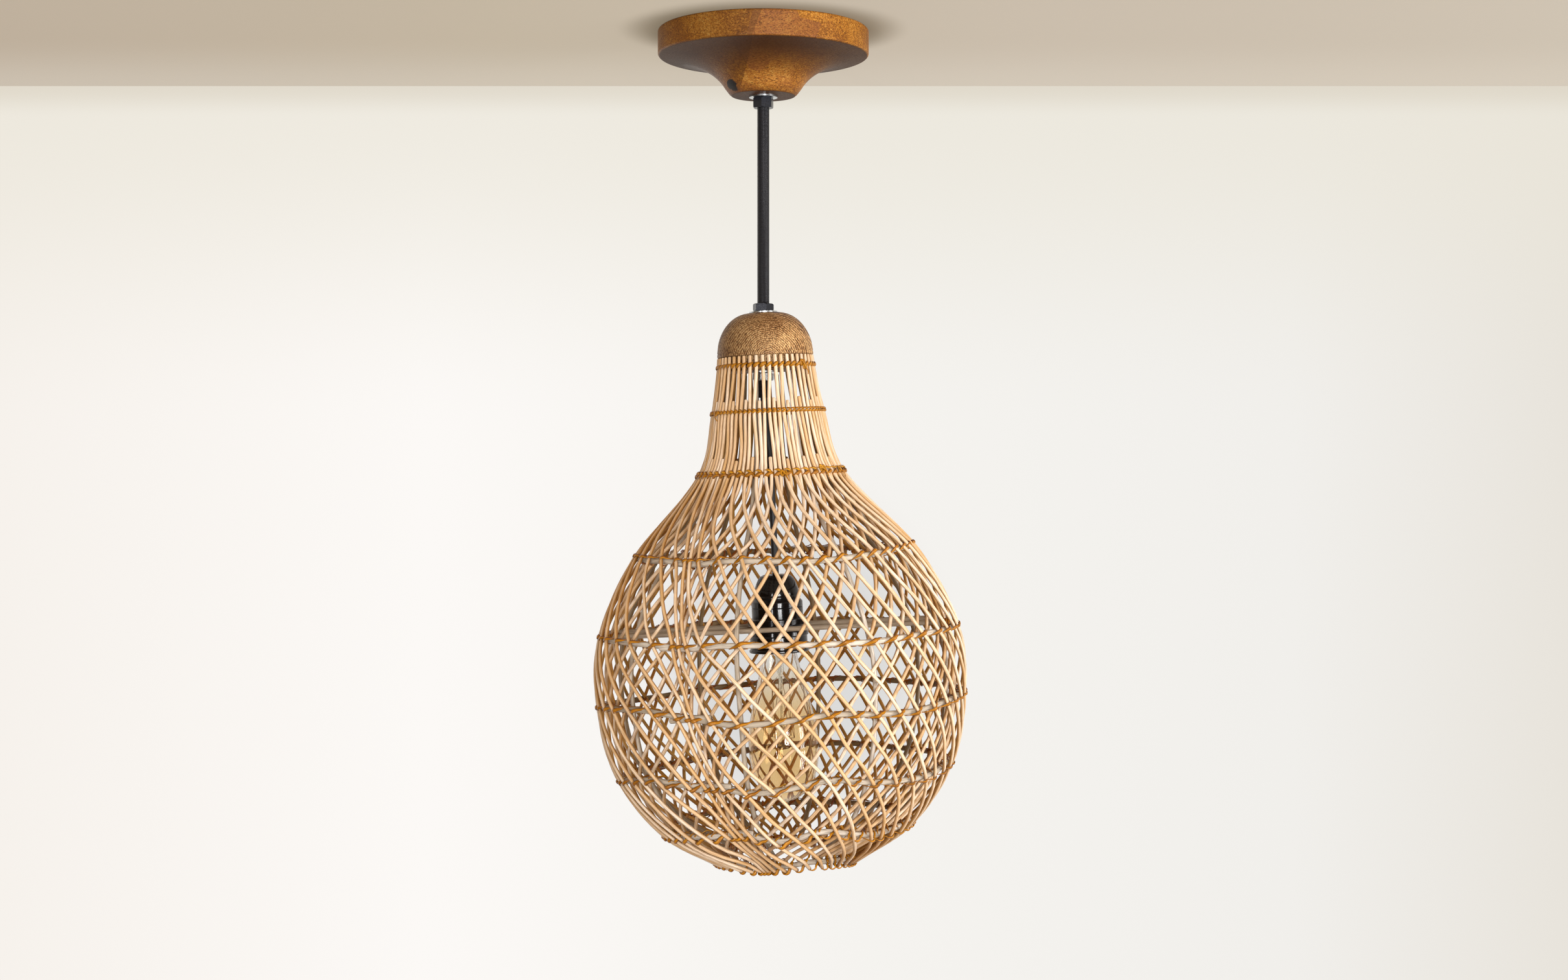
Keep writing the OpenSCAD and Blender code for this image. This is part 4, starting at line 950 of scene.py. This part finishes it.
def build_bridge():
    """The two bars on hoop 2, and a strip wound three and a half times round each end."""
    half = math.sqrt(BAR_REACH**2 - BAR_Y**2)
    stations = 40
    x = np.linspace(-half, half, stations)
    paths = np.stack([np.stack([
        x, side * BAR_Y + 0.25 * np.sin(x / 41 + side), -BAR_DROP + 0.2 * np.sin(x / 33)], -1)
        for side in (-1, 1)])
    paths = ends_tucked(paths, 0.7)
    up = np.zeros_like(paths) + np.array([0.0, 0.0, 1.0])
    radius = blunt(np.array([BAR_D / 2 * 0.97, BAR_D / 2 * 0.99]), stations)
    bars = sweep(paths, up, round_section(radius, 12))
    bars = (*bars[:4], 0 * bars[4])        # the painted shade at about half strength all round: no side of a bar faces out
    swept_piece("bridge_bars_laid", [bars], "hoop_cane", ["bridge_bars"])
    turns, per_turn, length, width = 3.5, 14, 6.4, 2.3
    a = np.linspace(0, turns * 2 * math.pi, int(turns * per_turn) + 1)
    parts = []
    for end in (-1, 1):
        for side in (-1, 1):
            centre = np.array([end * (half - 4.2), side * BAR_Y, -BAR_DROP - 1.1])
            path = centre + np.stack([
                end * (a / a[-1] - 0.5) * length, 2.95 * np.sin(a), 3.9 * np.cos(a)], -1)
            facing = np.stack([0 * a, np.sin(a), 0.8 * np.cos(a)], -1)
            parts.append(sweep(path[None], facing[None],
                               strip_section(np.full((1, len(a)), width), 0.5)))
    swept_piece("bark_bridge_ties", parts, "bark", ["bridge_ties"])


# ---- turned wood ----


def build_wood():
    """The canopy with its hollow, stepped up round the bracket, and the cap with its spigot."""
    canopy_r, canopy_h, rim_h, boss_r, edge = 85.5, 53.0, 21.0, 26.0, 1.2
    hole_r, well_r, well, step_r, step, hollow_r, hollow = 5.3, 19.5, 38, 39.963, 24, 62.5, 15.5
    t = np.linspace(0, 1, 15)[:, None]
    out, mid, near = (np.array(p) for p in (
        [canopy_r - edge, rim_h], [boss_r + 0.3 * (canopy_r - boss_r), rim_h + 4.5],
        [boss_r + 5, canopy_h - 6]))
    cove = (1 - t) ** 2 * out + 2 * t * (1 - t) * mid + t**2 * near
    profile = [
        [hollow_r, 0.0], [canopy_r - edge, 0.0], [canopy_r, edge], [canopy_r, rim_h - edge],
        *cove.tolist(), [boss_r + 1.6, canopy_h - 1.6], [boss_r - 0.4, canopy_h],
        [hole_r, canopy_h], [hole_r, well], [well_r, well], [well_r, step], [step_r, step],
        [step_r, hollow], [hollow_r, hollow]]
    turned_piece("canopy_turned", profile, "canopy_wood", ["canopy"], 192, 0.7,
                 leaning=False, body="canopy")
    a, bore_r = np.radians(np.arange(90, 14, -5.0)), 6.7
    dome = np.stack([
        CAP_FLAT_R + (CAP_R - CAP_FLAT_R) * np.cos(a), CAP_DOME_H * (1 - np.sin(a))], -1)
    groove = [[CAP_R - 0.05, 31.6], [CAP_R - 0.55, 32.1], [CAP_R, 32.7]]
    profile = [
        [bore_r, 0.0], *dome.tolist(), *groove,
        [CAP_R, CAP_FOOT - 0.4], [CAP_R - 0.4, CAP_FOOT], [SPIGOT_R, CAP_FOOT],
        [SPIGOT_R, CAP_DEPTH - 1], [SPIGOT_R - 1, CAP_DEPTH], [bore_r, CAP_DEPTH]]
    turned_piece("cap_turned", profile, "cap_wood", ["wooden_cap"], 160, 0.25)


# ---- rod, lampholder, bulb and cable ----


def build_rod():
    """Thread: radius 5 less 0.25 of a triangle wave of the height in pitches less the turn."""
    foot = -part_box("rod")[0].z / MM
    pitch, sides, groove = 1.0, 32, 0.25
    drop = np.linspace(ROD_TOP, foot, int((foot - ROD_TOP) / (pitch / 4)))[:, None]
    turn = (np.arange(sides) / sides)[None]
    wall = ROD_R - groove * np.abs((drop / pitch - turn) % 1 - 0.5) * 2
    wall[[0, -1]] = ROD_R - 0.6
    bore = np.full((1, sides), ROD_BORE_R)
    radius = np.concatenate([wall, bore, bore])
    down = np.concatenate([drop + 0 * turn, foot + 0 * bore, ROD_TOP + 0 * bore])
    a = 2 * math.pi * turn
    points = np.stack([radius * np.sin(a), -radius * np.cos(a), -down], -1)
    faces = grid_faces(len(radius), sides, True)[:, BACKWARDS]
    make_piece("rod_threaded", points * MM, faces.tolist(), "root", "blackened_rod", ["rod"],
               flat=True)


# Where the pieces of the lampholder and the bulb meet on the shade's axis, and the cap's radius.
FLANGE_FOOT, RING_TOP = BAR_DROP - BAR_D / 2 - 0.2, BAR_DROP + BAR_D / 2 + 0.2
RING_FOOT = RING_TOP + 17.5
CONTACT = RING_FOOT - 26.8                 # where the bulb's contact ends
BULB_CAP_R = 26.4 / 2


def build_holder():
    """Cover, body with its flange and threaded skirt, and the ring that screws on from below."""
    shell, barrel, skirt, flange, bore, grip = 2.0, 20.8, 19.4, 24.4, 17.4, 1.1
    top, flange_top = FLANGE_FOOT - 40.5, FLANGE_FOOT - 4.9
    split, insert_foot = flange_top - 9, CONTACT - 4.2
    shelf_r = BULB_CAP_R + 0.5 + 0.7 + 0.3             # room, wall of the sleeve, room
    shoulder = [
        (10.0, 0), (12.6, 1.2), (14.6, 3.6), (16.2, 7), (17.6, 11), (18.4, 15.5), (18.4, 17),
        (19.4, 17.6), (19.4, 18.8), (18.6, 19.4), (barrel, 22)]
    turned_piece("holder_cover_pressed", [
        [5.0, top], *[[r, top + fall] for r, fall in shoulder],
        [barrel, split - 0.1], [barrel - shell, split - 0.1], [barrel - shell, top + 22.8],
        [15.0, top + 16.8], [11.0, top + 6], [5.0, top + 4]],
        "holder_plastic", ["holder_cover"], 128, 0.5)
    turned_piece("holder_body_pressed", [
        [bore, split - 3], [barrel - shell - 0.1, split - 3], [barrel - shell - 0.1, split],
        [barrel, split], [barrel, flange_top], [flange, flange_top], [flange, FLANGE_FOOT],
        [skirt, FLANGE_FOOT], [skirt, RING_FOOT - 1], [bore, RING_FOOT - 1],
        [bore, insert_foot + 1.8], [shelf_r, insert_foot + 1.8], [shelf_r, insert_foot + 0.01],
        [bore, insert_foot + 0.01]], "holder_plastic", ["holder_body"], 128, 0.5)
    turned_piece("shade_ring_pressed", [
        [skirt + 0.05, RING_TOP], [flange - 0.4, RING_TOP], [flange, RING_TOP + 0.8],
        [flange, RING_TOP + 4], [flange - grip, RING_TOP + 4.6], [flange - grip, RING_FOOT - 2.6],
        [flange - 0.2, RING_FOOT - 2], [flange - 0.2, RING_FOOT - 0.6], [flange - 0.8, RING_FOOT],
        [skirt + 0.05, RING_FOOT]], "holder_plastic", ["shade_ring"], 128, 0.4, body="shade_ring")


def build_bulb():
    """Blown glass with its tip drawn off, the rolled screw cap and the drawn stem inside."""
    shell_top, shell_foot, tip = CONTACT + 5, CONTACT + 24, CONTACT + 150
    cap_r, glass_t, bulb_r, steps, axis = BULB_CAP_R, 1.0, 28.5, 44, 0.05
    top, neck_r, belly = shell_foot - 5, cap_r - 0.6, shell_foot + 0.6 * (tip - shell_foot)
    reach = tip - 2.2 - shell_foot
    drop = shell_foot + reach * np.sin(np.arange(1, steps + 1) * math.pi / 2 / steps)
    t = np.clip((drop - shell_foot) / (belly - shell_foot), 0, 1)
    upper = neck_r + (bulb_r - neck_r) * (0.35 * np.sqrt(t) + 0.65 * smooth(t))
    t = np.clip((drop - belly) / (tip - 2 - belly), 0, 1)
    lower = bulb_r * np.sqrt(np.maximum(0, 1 - t**2.6))
    outside = np.stack([np.where(drop < belly, upper, lower), drop], -1)
    inside = (outside - np.array([glass_t, glass_t / 3]))[:-2][::-1]
    turned_piece("bulb_glass_blown", [
        [neck_r - glass_t, top], [neck_r, top], [neck_r, shell_foot], *outside.tolist(),
        [2.2, tip - 1.6], [1.2, tip - 0.3], [axis, tip], [axis, tip - 4], *inside.tolist(),
        [neck_r - glass_t, shell_foot]], "amber_glass", ["bulb_glass"], 128, 0.2, body="bulb")
    wave, depth, ridges = np.linspace(0, 1, 49), 0.75, 4.5
    threads = cap_r - depth + depth * np.abs(np.sin(wave * ridges * math.pi))
    wall = np.stack([threads, shell_top + 1.9 + wave * 15.4], -1)
    turned_piece("bulb_cap_rolled", [
        [cap_r - 2.55, shell_top], [cap_r - 0.9, shell_top], [cap_r - 0.2, shell_top + 1.4],
        *wall.tolist(), [cap_r, shell_foot - 0.6], [cap_r, shell_foot],
        [cap_r - 0.5, shell_foot], [cap_r - 1.3, shell_top + 1.9], [cap_r - 2.55, shell_top + 1.2]],
        "nickel_cap", ["bulb_cap"], 96, 0.2, body="bulb")
    stem_foot, stem_r = shell_foot + 22, neck_r - glass_t - 0.1
    turned_piece("bulb_stem_drawn", [
        [axis, top + 1], [stem_r, top + 1], [stem_r, top + 2.4], [3.6, top + 8],
        [3.0, stem_foot - 4], [1.6, stem_foot], [1.4, belly - 6], [2.0, belly - 4],
        [2.0, belly - 2], [axis, belly - 1]], "clear_glass", ["bulb_stem"], 48, 0.6, body="bulb")


def build_cable():
    """The cable hangs from the rod and bends over 70 mm to the shade's axis."""
    top, bend, stations, cable_r = 17.0, -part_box("rod")[0].z / MM - 12, 90, 2.68
    z = np.linspace(top, CAP_DROP + 223 * math.cos(LEAN), stations)
    path = np.stack([(z - CAP_DROP) * math.tan(LEAN) * smooth((z - bend) / 70), 0 * z, -z], -1)
    side = np.zeros_like(path) + np.array([0.0, 1.0, 0.0])
    points, faces, *_ = sweep(
        path[None], side[None], round_section(np.full((1, stations), cable_r), 16))
    make_piece("cable_sheathed", points * MM, faces, "root", "black_sheath", ["cable"])


for build in (build_canes, build_ribs, build_hoops, build_hoop_ties, build_neck_bindings,
              build_bridge, build_wood, build_rod, build_cable, build_holder, build_bulb):
    build()

# ---- room and light ----

WALL_Y, FLOOR_Z, FAR = 0.244, -2.4, 3.0


def across_room(add, left, right, stops):
    """The place of a point, its axes, and a colour that changes from left to right."""
    place = add("TexCoord").outputs["Object"]
    axes = add("SeparateXYZ", {0: place}).outputs
    across = add("MapRange", {"Value": axes["X"], "From Min": left, "From Max": right})
    return place, axes, add("ValToRGB", {"Fac": across}, stops=stops)


def wall_colour(add):
    """Off-white wall with painted light: brightest left of the lamp, greyer to the right, and a
    painted shadow behind the shade.

    The painted shadow of the shade is a soft-edged ellipse; painted shade also darkens the
    wall towards the ceiling.
    """
    # Painted light: brightest left of the lamp, greyer to the right.
    place, axes, wall = across_room(add, -0.75, 0.8, [
        (0.0, "#f6f1eb"), (0.28, "#fcf9f6"), (0.55, "#f5f3ef"), (0.8, "#f1efeb"),
        (1.0, "#e6e1d8")])
    # Painted shade: darker towards the ceiling, in the corner.
    for start, colour, share in ((-0.32, "#eae5d8", 0.75), (-0.03, "#d8cfbe", 0.6)):
        wall = overlay(add, wall, colour, axes["Z"], start, 0.0, share, "SMOOTHSTEP")
    off = add("VectorMath", {0: place, 1: (0.024, 0.0, -0.535)}, operation="SUBTRACT")
    off = add("VectorMath", {0: off, 1: (1 / 0.165, 0, 1 / 0.19)}, operation="MULTIPLY")
    far = add("VectorMath", {0: off}, operation="LENGTH").outputs["Value"]
    # Painted shadow of the shade on the wall: a soft-edged grey ellipse.
    return overlay(add, wall, "#dad9d7", far, 1.0, 0.45, 0.92, "SMOOTHSTEP")


def ceiling_colour(add):
    """Beige ceiling with painted light, paler to the right and towards the wall, and a painted
    shadow in a ring round the canopy.
    """
    # Painted light: paler to the right, and towards the wall.
    place, axes, base = across_room(add, -0.7, 0.7, [
        (0.0, "#c2b4a2"), (0.35, "#c8bca8"), (0.65, "#cdc2b2"), (1.0, "#d0c7b8")])
    base = overlay(add, base, "#e0d8ca", axes["Y"], 0.02, WALL_Y, 0.55, "SMOOTHSTEP")
    far = add("VectorMath", {0: place}, operation="LENGTH").outputs["Value"]
    # Painted shadow in a ring round the canopy.
    return overlay(add, base, "#6a5f4a", far, 0.122, 0.083, 0.8, "SMOOTHSTEP")


def floor_colour(add):
    """Pale matt floor, a touch darker in a soft cloud."""
    cloud = add("TexNoise", {"Vector": add("TexCoord").outputs["Object"], "Scale": 0.8})
    return add("Mix", {0: cloud, 6: srgb("#e9e4da"), 7: srgb("#e3ddd2")},
               data_type="RGBA").outputs[2]


def stage_plane(name, edge, far_edge, colour, shown, plain_share=1.0, shadows=True):
    """A flat backdrop between two level edges, each (y, z), seen from its front only.

    colour is what it sends on to the object; the eye, gloss and glass see shown at its written
    value for plain_share, and the lit colour, with its shadows, for the rest. Without shadows,
    a lamp on its far side still reaches the object.
    """
    mesh = bpy.data.meshes.new(name)
    corners = [(-FAR, *edge), (FAR, *edge), (FAR, *far_edge), (-FAR, *far_edge)]
    mesh.from_pydata(corners, [], [(0, 1, 2, 3)])
    material, add = new_material(name)
    matt = add("BsdfDiffuse", {"Color": srgb(colour)})
    plain = add("Emission", {"Color": shown(add), "Strength": 1.0})
    rays = add("LightPath").outputs
    seen = add("Math", {0: rays["Is Camera Ray"], 1: rays["Is Glossy Ray"]}, operation="MAXIMUM")
    seen = add("Math", {0: seen, 1: rays["Is Transmission Ray"]}, operation="MAXIMUM")
    seen = add("Math", {0: seen, 1: plain_share}, operation="MULTIPLY")
    front = add("MixShader", {0: seen, 1: matt, 2: plain})
    behind = add("NewGeometry").outputs["Backfacing"]
    both = add("MixShader", {0: behind, 1: front, 2: add("BsdfTransparent")})
    add("OutputMaterial", {"Surface": both})
    plane = bpy.data.objects.new(name, mesh)
    plane.visible_shadow = shadows
    mesh.materials.append(material)
    bpy.context.scene.collection.objects.link(plane)


stage_plane("ceiling", (WALL_Y, 0), (-FAR, 0), "#d8cbb8", ceiling_colour, 0.8)
stage_plane("wall", (WALL_Y, -FAR), (WALL_Y, 0), "#8c7658", wall_colour, shadows=False)
stage_plane("floor", (-FAR, FLOOR_Z), (WALL_Y, FLOOR_Z), "#8c6f4c", floor_colour, 0.9)

# The rest of the room: pale to the eye and through glass, a dim warm light to the object.
world = bpy.data.worlds.new("room")
bpy.context.scene.world = world
world.use_nodes = True
world.node_tree.nodes.clear()
add_to_world = functools.partial(add_node, world.node_tree)
world_rays = add_to_world("LightPath").outputs
plainly = add_to_world("Math", {
    0: world_rays["Is Camera Ray"], 1: world_rays["Is Transmission Ray"]}, operation="MAXIMUM")
dim = add_to_world("MapRange", {
    "Value": world_rays["Is Glossy Ray"], "To Min": 0.15, "To Max": 0.1})
soft = add_to_world("Background", {"Color": srgb("#ddb070"), "Strength": dim})
pale = add_to_world("Background", {"Color": srgb("#f3f0ea"), "Strength": 1.0})
sky = add_to_world("MixShader", {0: plainly, 1: soft, 2: pale})
add_to_world("OutputWorld", {"Surface": sky})

# Lamps with soft edges, aimed at the shade and hidden from the camera.
SHADE = (0.0, 0.0, -0.48)
for name, place, width, height, power in (
    ("window_right", (1.85, -0.85, -0.78), 0.6, 1.45, 31.0),
    ("strip_left", (-0.8, -1.95, -0.85), 0.12, 1.5, 13.0),
    ("key_front", (0.55, -2.5, -0.4), 0.7, 0.7, 40.0),
    ("back_fill", (-0.8, 2.2, -0.7), 1.6, 1.2, 29.0),
):
    lamp = bpy.data.lights.new(name, "AREA")
    lamp.shape, lamp.size, lamp.size_y, lamp.energy = "RECTANGLE", width, height, power
    softbox = bpy.data.objects.new(name, lamp)
    bpy.context.scene.collection.objects.link(softbox)
    x, y, z = np.array(SHADE) - np.array(place)
    softbox.location = place
    softbox.rotation_euler = (
        math.pi / 2 + math.atan2(z, math.hypot(x, y)), 0, math.atan2(y, x) - math.pi / 2)
    softbox.visible_camera = False

bpy.context.scene.view_settings.view_transform = "Standard"
